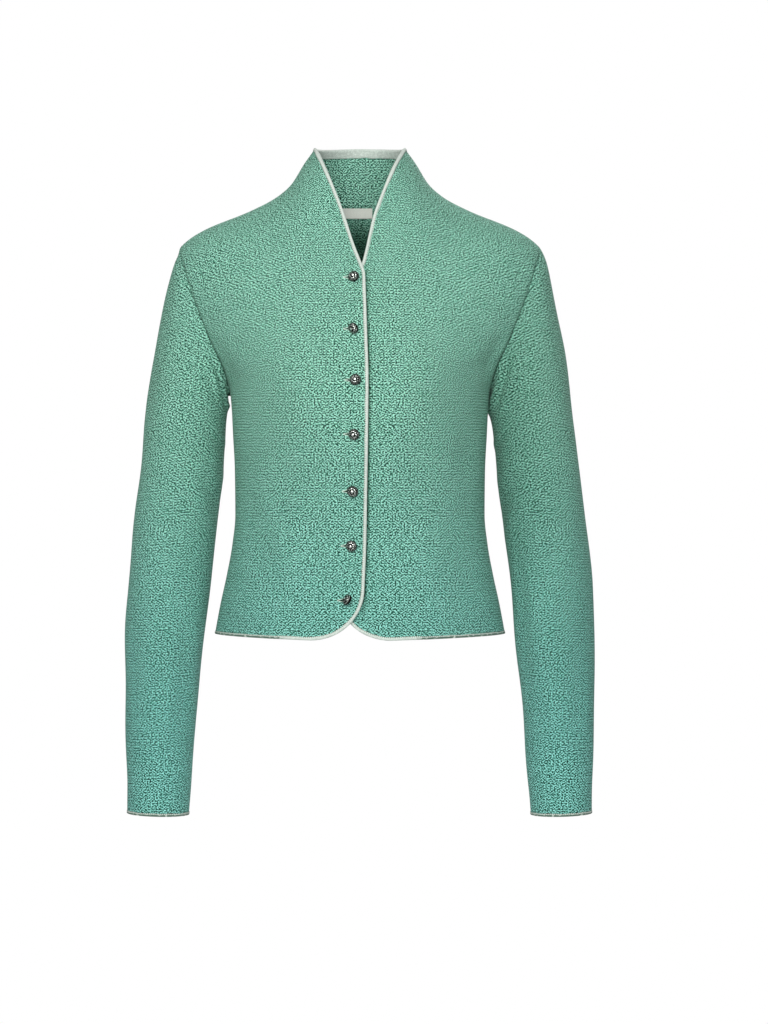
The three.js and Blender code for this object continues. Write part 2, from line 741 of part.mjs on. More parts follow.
// ---- buttons and buttonholes ----
// Where each button sits on the right front, and the frame that it sits in: local X
// runs away from the front edge and local Z is the cloth's outward normal.
const buttonPlaces = buttonRows.map(({ x, z }) => {
  const point = frontPoint(x, z, -1);
  const normal = formNormal((px, pz) => frontPoint(px, pz, -1), x, z);
  const away = new THREE.Vector3(-1, 0, 0);
  away.addScaledVector(normal, -away.dot(normal)).normalize();
  const frame = new THREE.Matrix4();
  frame.makeBasis(away, normal.clone().cross(away), normal).setPosition(point);
  return frame;
});

// A keyhole: a round eye for the shank, with the slit running on from it.
function buttonholeCutter(frame) {
  const reach = 2 * clothThickness;
  const turn = Math.asin(buttonhole.halfSlit / buttonhole.eye);
  const outline = new THREE.Shape();
  outline.absarc(0, 0, buttonhole.eye, turn, 2 * Math.PI - turn, false);
  outline.lineTo(buttonhole.length, -buttonhole.halfSlit);
  outline.lineTo(buttonhole.length, buttonhole.halfSlit);
  outline.closePath();
  const options = { depth: 2 * reach, bevelEnabled: false, curveSegments: 5 };
  const cutter = new THREE.ExtrudeGeometry(outline, options);
  cutter.translate(0, 0, -reach);
  return cutter.applyMatrix4(frame);
}

// A domed shank button, turned about its own axis.
function buttonGeometry() {
  const foot = -(clothThickness + lap.layerGap - seamGap);
  const profile = [
    new THREE.Vector2(0, foot),
    new THREE.Vector2(button.shank, foot),
    new THREE.Vector2(button.shank, button.lift),
    new THREE.Vector2(button.radius, button.lift),
  ];
  for (let k = 0; k <= domeSteps; k += 1) {
    const angle = (k / domeSteps) * (Math.PI / 2);
    const radius = k === domeSteps ? 0 : button.radius * Math.cos(angle);
    const height = button.lift + button.rim + button.dome * Math.sin(angle);
    profile.push(new THREE.Vector2(radius, height));
  }
  const geometry = new THREE.LatheGeometry(profile, buttonSides);
  return geometry.rotateX(Math.PI / 2);
}

// ---- the pieces ----
const right = frontPanel(-1);
const left = frontPanel(1);
const back = backPanel();
const collar = collarPanel();
const sleeveRight = sleevePanel(-1, right, back);
const sleeveLeft = sleevePanel(1, left, back);

const slitFront = buttonPlaces.reduce(
  (solid, frame) => solid.subtract(toSolid(buttonholeCutter(frame))),
  toSolid(wall(right)),
);
addPiece("front_right", fromSolid(slitFront), milledKnit);
addPiece("front_left", wall(left), milledKnit);
addPiece("back", wall(back), milledKnit);
addPiece("collar_back", wall(collar), milledKnit);
addPiece("sleeve_right", wall(sleeveRight), milledKnit);
addPiece("sleeve_left", wall(sleeveLeft), milledKnit);

// One place on a panel's edge, for the braid that is folded over it. di and dj lead to
// the next place in from the edge.
function edgePlace(panel, i, j, di, dj, inside = binding.inside) {
  const at = (a, b) => ({ point: panel.grid[b][a], normal: panel.normals[b][a] });
  const columns = panel.grid[0].length - 1;
  const flat = !panel.closed && (dj === 0 ? j === lastRow : i === 0 || i === columns);
  return { ...at(i, j), next: at(i + di, j + dj), flat: flat && di * dj === 0, inside };
}

// A front's braid runs from the collar corner down the edge, round and along the hem.
function frontEdge(panel) {
  const places = [];
  for (let j = lastRow; j > 0; j -= 1) {
    const rise = smoothStep((panel.grid[j][0].z - underarm.z) / -underarm.z);
    const inside = mix(binding.inside, binding.collarInside, rise);
    places.push(edgePlace(panel, 0, j, 1, 0, inside));
  }
  places.push(edgePlace(panel, 0, 0, 1, 1));
  for (let i = 1; i <= frontColumns; i += 1) {
    places.push(edgePlace(panel, i, 0, 0, 1));
  }
  return places;
}

const alongRow = (panel, j, dj, inside) =>
  panel.grid[j].map((_, i) => edgePlace(panel, i, j, 0, dj, inside));

const collarEdge = alongRow(collar, collarRows, -1, binding.collarInside);
const cuffRight = alongRow(sleeveRight, sleeveSpans, -1);
const cuffLeft = alongRow(sleeveLeft, sleeveSpans, -1);
addPiece("binding_edge_right", foldedStrip(frontEdge(right), true), paleBraid);
addPiece("binding_edge_left", foldedStrip(frontEdge(left), false), paleBraid);
addPiece("binding_collar", foldedStrip(collarEdge, false), paleBraid);
addPiece("binding_hem_back", foldedStrip(alongRow(back, 0, 1), true), paleBraid);
addPiece("binding_cuff_right", foldedStrip(cuffRight, true, true), paleBraid);
addPiece("binding_cuff_left", foldedStrip(cuffLeft, false, true), paleBraid);

buttonPlaces.forEach((frame, k) => {
  const mesh = addPiece(`button_${k + 1}`, buttonGeometry(), agedMetal);
  mesh.applyMatrix4(frame);
});

// The neck label lies on the inner face of the back, just under the collar seam.
function labelPanel() {
  const columns = 4;
  const grid = [label.bottom, label.top].map((z) =>
    Array.from({ length: columns + 1 }, (_, i) =>
      backPoint(label.centre + (i / columns - 1 / 2) * label.width, z),
    ),
  );
  return makePanel(grid, true);
}
const labelSetBack = clothThickness + seamGap;
addPiece("neck_label", wall(labelPanel(), label.thickness, labelSetBack), labelTape);

export default cardigan;
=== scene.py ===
import math

import bpy
import numpy as np
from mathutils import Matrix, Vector


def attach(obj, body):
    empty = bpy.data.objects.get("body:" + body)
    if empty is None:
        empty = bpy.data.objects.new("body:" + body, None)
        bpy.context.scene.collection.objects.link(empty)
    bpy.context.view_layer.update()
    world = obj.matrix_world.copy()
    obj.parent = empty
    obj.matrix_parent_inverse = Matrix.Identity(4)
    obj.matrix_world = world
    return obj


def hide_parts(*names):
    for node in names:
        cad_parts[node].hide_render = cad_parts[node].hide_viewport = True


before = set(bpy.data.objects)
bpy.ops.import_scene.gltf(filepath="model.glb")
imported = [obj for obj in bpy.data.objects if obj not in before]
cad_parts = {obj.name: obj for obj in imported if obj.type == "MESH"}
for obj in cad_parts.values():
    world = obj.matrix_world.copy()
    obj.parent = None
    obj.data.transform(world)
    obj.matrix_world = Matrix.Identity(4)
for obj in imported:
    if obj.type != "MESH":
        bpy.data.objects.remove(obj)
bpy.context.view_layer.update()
millimetre = 0.001  # every shape below is worked out in millimetres
print("frame loaded:", len(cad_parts), "nodes")

camera = {
    "x": 26.4, "z": -330,  # the lens looks level along +Y from here
    "heightSeen": 1126.4,  # what the frame shows at the plane of the side seams
    "lens": 100, "sensor": 36,
}
lights = {
    # name: place in m, what it looks at in m, width in m, watts, colour
    "key": ((-0.5, -2.55, 0.95), (0, 0, -0.2), 1.1, 36, "#fffdf8"),
    "front": ((0.05, -3.0, 0.1), (0, 0, -0.3), 1.6, 49, "#fbfdff"),
    "rear": ((0.6, 2.4, 1.1), (0, 0, -0.2), 1.8, 52, "#ffffff"),
}
room = {"seen": 1.0, "light": 0.38}  # strength of the white room as it shows and as it lights
floor = {
    "height": -1000, "radius": 560, "thickness": 10, "sides": 96,
    "colour": "#f2f3f1", "roughness": 0.9,
}


def linear(hexColour):
    # sRGB hex to linear: (c / 12.92) below 0.04045, ((c + 0.055) / 1.055) ^ 2.4 above
    parts = [int(hexColour[i:i + 2], 16) / 255 for i in (1, 3, 5)]
    return tuple(c / 12.92 if c <= 0.04045 else ((c + 0.055) / 1.055) ** 2.4 for c in parts) + (1.0,)


def addNode(tree, kind, links=(), output=0, **settings):
    # One node, of which it gives back one output. links is {input: socket or value}, or a plain
    # list for the first inputs; settings are the node's own properties, or a colour ramp's stops.
    node = tree.nodes.new("ShaderNode" + kind)
    stops = settings.pop("stops", ())
    for _ in stops[2:]:
        node.color_ramp.elements.new(0.5)
    for i, (place, colour) in enumerate(stops):
        node.color_ramp.elements[i].position = place
        node.color_ramp.elements[i].color = linear(colour)
    for name, value in settings.items():
        setattr(node, name, value)
    for name, value in (links.items() if isinstance(links, dict) else enumerate(links)):
        if isinstance(value, bpy.types.NodeSocket):
            tree.links.new(value, node.inputs[name])
        else:
            node.inputs[name].default_value = value
    return node.outputs[output] if len(node.outputs) else node


def setUpCamera():
    # level, and as far off as heightSeen x lens / sensor
    data = bpy.data.cameras.new("camera")
    data.lens = camera["lens"]
    data.sensor_fit = "VERTICAL"
    data.sensor_height = camera["sensor"]
    distance = camera["heightSeen"] * camera["lens"] / camera["sensor"]
    item = bpy.data.objects.new("camera", data)
    item.location = Vector((camera["x"], -distance, camera["z"])) * millimetre
    item.rotation_euler = (math.pi / 2, 0, 0)
    bpy.context.collection.objects.link(item)
    bpy.context.scene.camera = item
    bpy.context.scene.view_settings.view_transform = "Standard"


def setUpLight():
    # soft square lamps in a white room, which shows brighter than it lights
    for name, (place, target, width, watts, colour) in lights.items():
        data = bpy.data.lights.new(name, "AREA")
        data.size = width
        data.energy = watts
        data.color = linear(colour)[:3]
        item = bpy.data.objects.new(name, data)
        item.location = place
        item.rotation_euler = (Vector(target) - Vector(place)).to_track_quat("-Z", "Y").to_euler()
        bpy.context.collection.objects.link(item)
    world = bpy.data.worlds.new("studio")
    world.use_nodes = True
    tree = world.node_tree
    tree.nodes.clear()
    seen, lit = (addNode(tree, "Background", [(1, 1, 1, 1), room[key]]) for key in ("seen", "light"))
    toCamera = addNode(tree, "LightPath", output="Is Camera Ray")
    addNode(tree, "OutputWorld", {"Surface": addNode(tree, "MixShader", [toCamera, lit, seen])})
    bpy.context.scene.world = world


def setUpFloor():
    # a thin round slab: radius and height run along the profile of its edge
    radius = np.array([0, 0.7, 0.98, 1, 1, 0.98, 0])[:, None] * floor["radius"]
    height = floor["height"] - np.array([0, 0, 0.05, 0.2, 0.8, 1, 1])[:, None] * floor["thickness"]
    turn = np.linspace(0, 2 * np.pi, floor["sides"] + 1)[:-1]
    points = np.stack([radius * np.cos(turn), radius * np.sin(turn), height + 0 * turn], -1)
    ids = np.arange(points[..., 0].size).reshape(points.shape[:2])
    ids = np.concatenate([ids, ids[:, :1]], 1)
    quads = np.stack([ids[:-1, :-1], ids[:-1, 1:], ids[1:, 1:], ids[1:, :-1]], -1).reshape(-1, 4)
    mesh = bpy.data.meshes.new("floor")
    mesh.from_pydata((points.reshape(-1, 3) * millimetre).tolist(), [], quads.tolist())
    item = bpy.data.objects.new("floor", mesh)
    bpy.context.collection.objects.link(item)
    material = bpy.data.materials.new("matt white board")
    material.use_nodes = True
    shader = material.node_tree.nodes["Principled BSDF"]
    shader.inputs["Base Color"].default_value = linear(floor["colour"])
    shader.inputs["Roughness"].default_value = floor["roughness"]
    mesh.materials.append(material)


setUpCamera()
setUpLight()
setUpFloor()
print("camera, light and floor set up")


def mix(a, b, t):
    # a where t is 0, b where t is 1, and straight between
    return a + (b - a) * t


def bell(distance, half):
    # a Gaussian: 1 in the middle, 1 / e at half
    return np.exp(-((distance / half) ** 2))


def unit(vectors):
    # each vector over its own length
    return vectors / np.linalg.norm(vectors, axis=-1, keepdims=True)


def smoothStep(t):
    # 0 below 0, 1 above 1, t^2 (3 - 2t) between
    t = np.clip(t, 0, 1)
    return t * t * (3 - 2 * t)


def through(at, value):
    # a smooth curve through the rows of a table that never overshoots them: on each span a
    # cubic whose end slopes are the weighted harmonic means of the chords beside them
    at = np.array(at, float)
    value = np.array(value, float)
    step = np.diff(at)
    rise = np.diff(value) / step
    before = 2 * step[1:] + step[:-1]
    after = step[1:] + 2 * step[:-1]
    level = rise[:-1] * rise[1:] <= 0
    one = np.where(level, 1, rise[:-1])
    two = np.where(level, 1, rise[1:])
    inner = np.where(level, 0, (before + after) / (before / one + after / two))
    slope = np.concatenate([rise[:1], inner, rise[-1:]])

    def curve(t):
        i = np.clip(np.searchsorted(at, t, side="left") - 1, 0, len(step) - 1)
        s = np.clip((t - at[i]) / step[i], 0, 1)
        start = value[i] * (1 + 2 * s) * (1 - s) ** 2 + slope[i] * step[i] * s * (1 - s) ** 2
        end = value[i + 1] * s * s * (3 - 2 * s) + slope[i + 1] * step[i] * s * s * (s - 1)
        return start + end

    return curve


def columns(names, rows):
    # a table's rows as named columns
    return dict(zip(names, zip(*rows)))


cloth = {
    # mm, with x from the centre, z up from the base of the back neck and y out of the back
    "thickness": 2, "seamGap": 0.08,
    "collarSide": 69, "collarCentre": 74.5, "collarHalfWidth": 50,
    "neckPoint": 93, "backNeckHeight": 12,
    "shoulderTipX": 197, "shoulderTipZ": -38,
    "underarmZ": -200, "underarmAtFront": -190, "underarmAtBack": -196,
    "hemSide": -462, "hemFront": -467, "hemBack": -455,
    "cornerWidth": 58, "cornerHeight": 52,
    "neckRound": 85, "shoulderRoundFrom": 90, "shoulderRoundOver": 80, "shoulderRound": 45,
    "bustX": 76, "bustZ": -208, "bustOut": 9, "bustAcross": 46, "bustDown": 50,
    "lapGap": 4, "lapFrom": 6, "lapTo": 40, "lapTop": -14, "lapFull": -44,
    "seamDip": 0.45, "seamDipWidth": 1.8,  # how far the knit is drawn in at its seams
    "seamShows": 0.22,  # the crack left at an armhole seam
    # over how many mm from a seam the folds begin: at the sides, the fronts' and the back's top
    # line, and where they start and how they grow beside the front edge
    "foldsFromSide": 10, "foldsFromTop": 22, "foldsFromBackTop": 34,
    "foldsFromEdge": 12, "foldsOverEdge": 34,
    "frontFolds": 0.7,  # the share of their depth that the front's folds are given
    "frontUneven": 0.45, "backUneven": 0.7, "collarRoll": 0.8, "collarWave": 21,
}
topLineRows = columns(("x", "z"), [
    (0, 169), (50, 69), (60, 55), (77, 28.6), (93, 15.4), (118, 2.2), (179, -24.2), (197, -38),
    (203, -46)])
bodySections = columns(("z", "width", "front", "back"), [
    (-467, 160.5, 114, 100), (-432, 154, 110.5, 94), (-399, 146.8, 108, 84), (-366, 140.8, 108.5, 76),
    (-333, 137.5, 113, 75), (-284, 138, 124, 84), (-250, 139.7, 131, 92), (-200, 143, 133, 100),
    (-185, 148, 131, 101), (-170, 156.5, 128, 102), (-153, 168.7, 123, 102.5),
    (-121, 186.6, 114, 101), (-93, 200, 105, 96), (-58, 209, 92, 88), (-20, 213, 79, 74),
    (20, 215, 66, 61), (73.5, 215, 56, 52)])
armholeRows = columns(("z", "x"), [
    (-200, 143), (-185, 145.5), (-170, 150), (-153, 158), (-121, 171.5), (-93, 182), (-57, 193),
    (-45, 196.4), (-38, 197)])
# the front edges: how far each lies from the centre towards its own side
rightEdgeRows = columns(("z", "x"), [
    (-467, -2.5), (-424, -4), (-366, -6.4), (-308, -7.5), (-248, -8.5), (-191, -9), (-135, -7.3),
    (-92, -5.8), (-75, -5), (-67, -2.3), (-41, 7.6), (-13, 16.5), (6.5, 23.3), (36, 35.3), (69, 50)])
leftEdgeRows = columns(("z", "x"), [
    (-467, -22), (-115, -22), (-96, -21), (-84, -17), (-76, -9), (-67, 2.6), (-52, 7), (-32, 11.4),
    (-9.5, 16.9), (11.4, 24.4), (37, 34.6), (69, 50)])
sleeveRows = columns(("share", "outX", "outZ", "inX", "inZ", "depth", "y"), [
    (0.0, 197, -38, 143, -200, 49, 0), (0.06, 205.5, -56, 144, -203, 49.5, 1),
    (0.13, 212.5, -82, 145.6, -207, 50.5, 3), (0.21, 219, -116, 146.8, -213, 52, 5),
    (0.3, 226, -156, 147, -224, 52, 7), (0.4, 232.5, -204, 147.4, -244, 51, 9),
    (0.5, 239.5, -256, 150, -276, 50, 10), (0.6, 247.8, -330, 158.2, -338, 49, 9),
    (0.7, 256, -413, 166, -416, 47.5, 4), (0.8, 257.5, -493, 173.5, -494, 44, -8),
    (0.9, 255.5, -576, 180.5, -577, 38.5, -20), (1.0, 253, -656, 186, -658, 33.5, -33)])

sleeve = {
    "length": 640, "radius": 46,  # mm, on which its folds are laid out
    "fadeOut": 0.3,  # share of the length over which the armhole's own shape fades out
    "rests": {-1: 2.5, 1: 6.2},  # mm nearer the body under the arm, on each side
    "restsAt": 0.22, "restsOver": 0.12,  # where that is, in shares of the length
    "level": -224, "half": 44.3,  # mm, a height below the underarm and half the width there
    "uneven": 0.8, "foldsFrom": 0.035, "cuffHeld": 0.35, "cuffOver": 0.05,
}

topLine = through(topLineRows["x"], topLineRows["z"])
bodyWidth = through(bodySections["z"], bodySections["width"])
frontDepth = through(bodySections["z"], bodySections["front"])
backDepth = through(bodySections["z"], bodySections["back"])
armhole = through(armholeRows["z"], armholeRows["x"])
rightEdge = through(rightEdgeRows["z"], rightEdgeRows["x"])
leftEdge = through(leftEdgeRows["z"], leftEdgeRows["x"])
sleeveAt = {name: through(sleeveRows["share"], sleeveRows[name]) for name in list(sleeveRows)[1:]}

# Soft troughs in the knit, as seen from the front: where each starts and ends, how deep it is (a
# ridge is negative), half its width and how far it bows to one side, all in mm.
# fromX, fromZ, toX, toZ, deep, half, bow
frontFolds = [
    (-160, -140, -118, -214, 2.6, 10, 5),
    (-150, -196, -92, -178, 1.4, 9, -4),
    (-138, -262, -84, -236, 1.2, 10, 4),
    (-126, -300, -104, -420, 2.2, 13, -6),
    (-134, -352, -70, -330, 1.5, 9, 3),
    (-84, -330, -62, -452, -1.6, 16, 5),
    (-132, -392, -98, -446, 1.2, 9, 3),
    (-60, -60, -96, -146, 0.9, 15, 6),
    (-52, -236, -42, -330, 1.0, 14, -4),
    (158, -128, 124, -196, 2.8, 11, -6),
    (146, -168, 96, -196, 1.5, 9, 4),
    (121, -232, 113, -332, 3.0, 13, 5),
    (134, -322, 78, -342, 1.6, 9, -3),
    (118, -388, 112, -456, 2.4, 13, 4),
    (84, -300, 64, -448, -1.6, 17, -5),
    (50, -214, 46, -318, 1.0, 14, 4),
    (62, -70, 94, -140, 0.9, 15, -5),
]
backFolds = [
    (-156, -132, -116, -204, 2.6, 11, 5),
    (-146, -186, -86, -172, 1.5, 10, -4),
    (-126, -236, -112, -336, 2.6, 13, -5),
    (-134, -330, -46, -312, 1.7, 9, 4),
    (-120, -356, -30, -352, 1.4, 8, -3),
    (-110, -372, -104, -456, 2.2, 15, 5),
    (-52, -380, -48, -462, -1.8, 18, 3),
    (154, -136, 112, -208, 2.7, 11, -5),
    (148, -190, 90, -180, 1.4, 9, 4),
    (124, -240, 110, -330, 2.4, 13, 6),
    (132, -338, 40, -318, 1.8, 9, -4),
    (112, -358, 26, -364, 1.3, 8, 3),
    (108, -378, 100, -458, 2.3, 15, -4),
    (46, -384, 52, -462, -1.7, 17, -3),
    (-60, -40, -84, -132, 1.1, 17, -6),
    (64, -46, 82, -126, 1.1, 17, 5),
]
# On a sleeve: share of its length and turn round it in degrees (0 outside, 90 at the front, 180 at
# the body, 270 at the back) at both ends, then the depth, the half width in mm and the bow in mm.
# fromShare, fromTurn, toShare, toTurn, deep, half, bow
sleeveFolds = {
    -1: [
        (0.05, 118, 0.33, 168, 3.4, 9, 6),
        (0.12, 96, 0.36, 150, 1.6, 9, 4),
        (0.40, 110, 0.47, 176, 1.8, 8, -3),
        (0.46, 84, 0.53, 158, 1.6, 8, 4),
        (0.52, 120, 0.60, 184, 2.0, 9, -4),
        (0.60, 70, 0.66, 140, 1.2, 9, 3),
        (0.70, 118, 0.94, 128, 1.6, 10, 4),
        (0.74, 48, 0.90, 62, 1.0, 10, -4),
        (0.05, 242, 0.33, 194, 3.2, 10, -6),
        (0.42, 250, 0.48, 186, 1.9, 9, 4),
        (0.50, 236, 0.58, 178, 2.1, 9, 4),
        (0.62, 262, 0.70, 206, 1.4, 9, -3),
        (0.72, 236, 0.93, 228, 1.5, 11, 4),
        (0.30, 30, 0.48, 16, 1.0, 13, 4),
    ],
    1: [
        (0.06, 112, 0.34, 162, 3.4, 10, -6),
        (0.16, 92, 0.40, 136, 1.9, 10, -5),
        (0.41, 118, 0.49, 180, 1.7, 8, 4),
        (0.48, 92, 0.56, 160, 1.9, 9, -4),
        (0.55, 128, 0.63, 188, 1.8, 9, 4),
        (0.64, 76, 0.71, 136, 1.1, 9, -3),
        (0.62, 134, 0.90, 138, 1.8, 10, 5),
        (0.76, 52, 0.93, 58, 1.0, 10, 4),
        (0.06, 246, 0.34, 196, 3.1, 10, 6),
        (0.43, 246, 0.50, 184, 1.8, 9, -4),
        (0.51, 238, 0.60, 176, 2.0, 9, -4),
        (0.63, 258, 0.71, 202, 1.4, 9, 3),
        (0.74, 232, 0.92, 236, 1.5, 11, -4),
        (0.34, 22, 0.50, 30, 1.0, 13, -4),
    ],
}


def troughs(x, z, rows):
    # Each trough is a Gaussian across its line, less a lower ridge (0.4 of its depth) pushed up at
    # 1.9 half widths on either side. It swells and dies away along the line, is 0.75 to 1.25 half
    # widths wide from start to end, and bows like a parabola.
    total = np.zeros(np.broadcast(x, z).shape)
    for fromX, fromZ, toX, toZ, deep, half, bow in rows:
        length = math.hypot(toX - fromX, toZ - fromZ)
        alongX = (toX - fromX) / length
        alongZ = (toZ - fromZ) / length
        share = ((x - fromX) * alongX + (z - fromZ) * alongZ) / length
        inside = np.clip(share, 0, 1)
        off = (x - fromX) * alongZ - (z - fromZ) * alongX - 4 * bow * inside * (1 - inside)
        swell = smoothStep(1.3 - 1.3 * np.abs(2 * share - 0.9))
        wide = half * (0.75 + 0.5 * inside)
        ridge = 0.4 * bell(np.abs(off) - 1.9 * wide, wide)
        total -= deep * swell * (bell(off, wide) - ridge)
    return total


def unevenness(x, z, seed, size, shortest=55, longest=170):
    # the sum of nine long, low sine waves with drawn directions and lengths in mm, higher where
    # they are longer: no cloth hangs perfectly smooth
    draw = np.random.default_rng(seed)
    total = np.zeros(np.broadcast(x, z).shape)
    for _ in range(9):
        turn, phase = draw.uniform(0, 2 * np.pi, 2)
        waveLength = draw.uniform(shortest, longest)
        swing = np.sin(2 * np.pi * (x * np.cos(turn) + z * np.sin(turn)) / waveLength + phase)
        total += size * draw.uniform(0.3, 1) * waveLength / longest * swing
    return total


def standOut(x, z, depth):
    # depth(z) x the oval sqrt(1 - (x / width)^2) x a quarter round under the top line
    away = np.abs(x)
    across = np.clip(away / bodyWidth(z), 0, 1)
    past = smoothStep((away - cloth["shoulderRoundFrom"]) / cloth["shoulderRoundOver"])
    rounding = mix(cloth["neckRound"], cloth["shoulderRound"], past)
    below = np.clip((topLine(away) - z) / rounding, 0, 1)
    return depth(z) * np.sqrt(1 - across**2) * np.sqrt(1 - (1 - below) ** 2)


def fullness(x, z):
    # a Gaussian mound over the bust, which dies away towards the side seam
    across = (np.abs(x) - cloth["bustX"]) / cloth["bustAcross"]
    down = (z - cloth["bustZ"]) / cloth["bustDown"]
    fading = 1 - np.clip(np.abs(x) / bodyWidth(z), 0, 1) ** 2
    return cloth["bustOut"] * fading * np.exp(-(across**2) - down**2)


def setIn(x, z):
    # the left front steps in under the right one where they lap
    across = smoothStep((cloth["lapTo"] - x) / (cloth["lapTo"] - cloth["lapFrom"]))
    down = smoothStep((cloth["lapTop"] - z) / (cloth["lapTop"] - cloth["lapFull"]))
    return (cloth["thickness"] + cloth["lapGap"]) * across * down


def sideAt(z):
    # how far out a panel ends: at the armhole above the underarm, at the body's width below it
    return np.where(z > cloth["underarmZ"], armhole(z), bodyWidth(z))


def backTop(x):
    # the collar seam is a parabola from the centre back to the neck point, then the shoulder seam
    curve = mix(cloth["backNeckHeight"], topLine(cloth["neckPoint"]), (x / cloth["neckPoint"]) ** 2)
    return np.where(x >= cloth["neckPoint"], topLine(x), curve)


probe = 0.5  # mm to either side of a place where a slope is taken


def frontForm(x, z, side):
    # the body's oval and the bust, half a seam's gap off the plane of the side seams
    y = -standOut(x, z, frontDepth) - fullness(x, z) - cloth["seamGap"] / 2
    return np.stack([x, y + (setIn(x, z) if side > 0 else 0), z], -1)


def backForm(x, z):
    # the body's oval behind, half a seam's gap off the plane of the side seams
    return np.stack([x, standOut(x, z, backDepth) + cloth["seamGap"] / 2, z], -1)


def formNormal(form, x, z):
    # the cross product of the form's steps along x and z, turned away from the side seams' plane
    normal = unit(np.cross(form(x + probe, z) - form(x - probe, z),
                           form(x, z + probe) - form(x, z - probe)))
    inwards = normal[..., 1] * form(x, z)[..., 1] < 0
    return np.where(inwards[..., None], -normal, normal)


def frontNormal(x, z, side):
    # the normal of a front's form, before its folds
    return formNormal(lambda a, b: frontForm(a, b, side), x, z)


def seamDip(fromSeam):
    # a Gaussian along each seam, by which the knit is drawn in
    return cloth["seamDip"] * bell(fromSeam, cloth["seamDipWidth"])


def frontSurface(x, z, side):
    # the form, moved out by its folds, which die away at seams and under the lap
    edge = rightEdge if side < 0 else leftEdge
    fromSide = sideAt(z) - np.abs(x)
    fromTop = topLine(np.maximum(np.abs(x), cloth["collarHalfWidth"])) - z
    fromEdge = x * side - edge(z)
    held = (smoothStep(fromSide / cloth["foldsFromSide"])
            * smoothStep(fromTop / cloth["foldsFromTop"])
            * smoothStep((fromEdge - cloth["foldsFromEdge"]) / cloth["foldsOverEdge"]))
    folds = (cloth["frontFolds"] * troughs(x, z, frontFolds)
             + unevenness(x, z, 5, cloth["frontUneven"]))
    relief = held * folds - seamDip(np.minimum(fromSide, fromTop + 0 * fromSide))
    return frontForm(x, z, side) + frontNormal(x, z, side) * relief[..., None]


def backSurface(x, z):
    # the same for the back
    fromSide = sideAt(z) - np.abs(x)
    fromTop = backTop(np.abs(x)) - z
    held = (smoothStep(fromSide / cloth["foldsFromSide"])
            * smoothStep(fromTop / cloth["foldsFromBackTop"]))
    relief = held * (troughs(x, z, backFolds) + unevenness(x, z, 8, cloth["backUneven"]))
    relief -= seamDip(np.minimum(fromSide, np.abs(fromTop)))
    return backForm(x, z) + formNormal(backForm, x, z) * relief[..., None]


grid = {
    "finer": 7,  # grid lines for each line of the pattern's own spacing
    "frontColumns": 13, "neckColumns": 6, "backColumns": 12,
    "lowerRows": 11, "upperRows": 13, "crowding": 0.75,
    "collarRows": 4, "sleeveSpans": 21,
}
finer = grid["finer"]
lowerRows = grid["lowerRows"] * finer
lastRow = lowerRows + grid["upperRows"] * finer


def topNormal(x):
    # square to the shoulder and collar seam, and level in Y
    slope = (topLine(np.abs(x) + probe) - topLine(np.abs(x) - probe)) / (2 * probe) * np.sign(x)
    return unit(np.stack([-slope, 0 * x, 1 + 0 * x], -1))


def sideNormal(side, z):
    # square to the side seam, and level in Y
    slope = (bodyWidth(z + probe) - bodyWidth(z - probe)) / (2 * probe)
    return unit(np.stack([side + 0 * z, 0 * z, -slope], -1))


def travelAlong(edge, closed):
    # the way along an edge at each of its places
    return np.roll(edge, -1, 0) - np.roll(edge, 1, 0) if closed else np.gradient(edge, axis=0)


def gridNormals(points, turned, closed=False):
    # the cross product of central differences along the columns and the rows
    wide = np.concatenate([points[:, -1:], points, points[:, :1]], 1) if closed else points
    across = (wide[:, 2:] - wide[:, :-2]) if closed else np.gradient(wide, axis=1)
    return unit(np.cross(across, np.gradient(points, axis=0)) * (-1 if turned else 1))


def panelRows(bottom, underarm, top):
    # heights at the side and at the centre of each row, and how far it follows the top line
    t = np.arange(lowerRows) / lowerRows
    even = np.arange(lastRow - lowerRows + 1) / (lastRow - lowerRows)
    up = mix(even, (1 - np.cos(np.pi * even)) / 2, grid["crowding"])
    side = np.concatenate([mix(cloth["hemSide"], cloth["underarmZ"], t),
                           mix(cloth["underarmZ"], cloth["shoulderTipZ"], up)])
    centre = np.concatenate([mix(bottom, underarm, t), mix(underarm, top, up)])
    return side[:, None], centre[:, None], np.concatenate([0 * t, smoothStep(up)])[:, None]


def roundTheOval(side, edgeX, count):
    # distances from the centre, spaced evenly round the oval section
    oval = bodyWidth(side)
    start = np.arcsin(edgeX / oval)
    end = np.arcsin(np.clip(sideAt(side) / oval, 0, 1))
    return oval * np.sin(mix(start, end, np.arange(count + 1) / count))


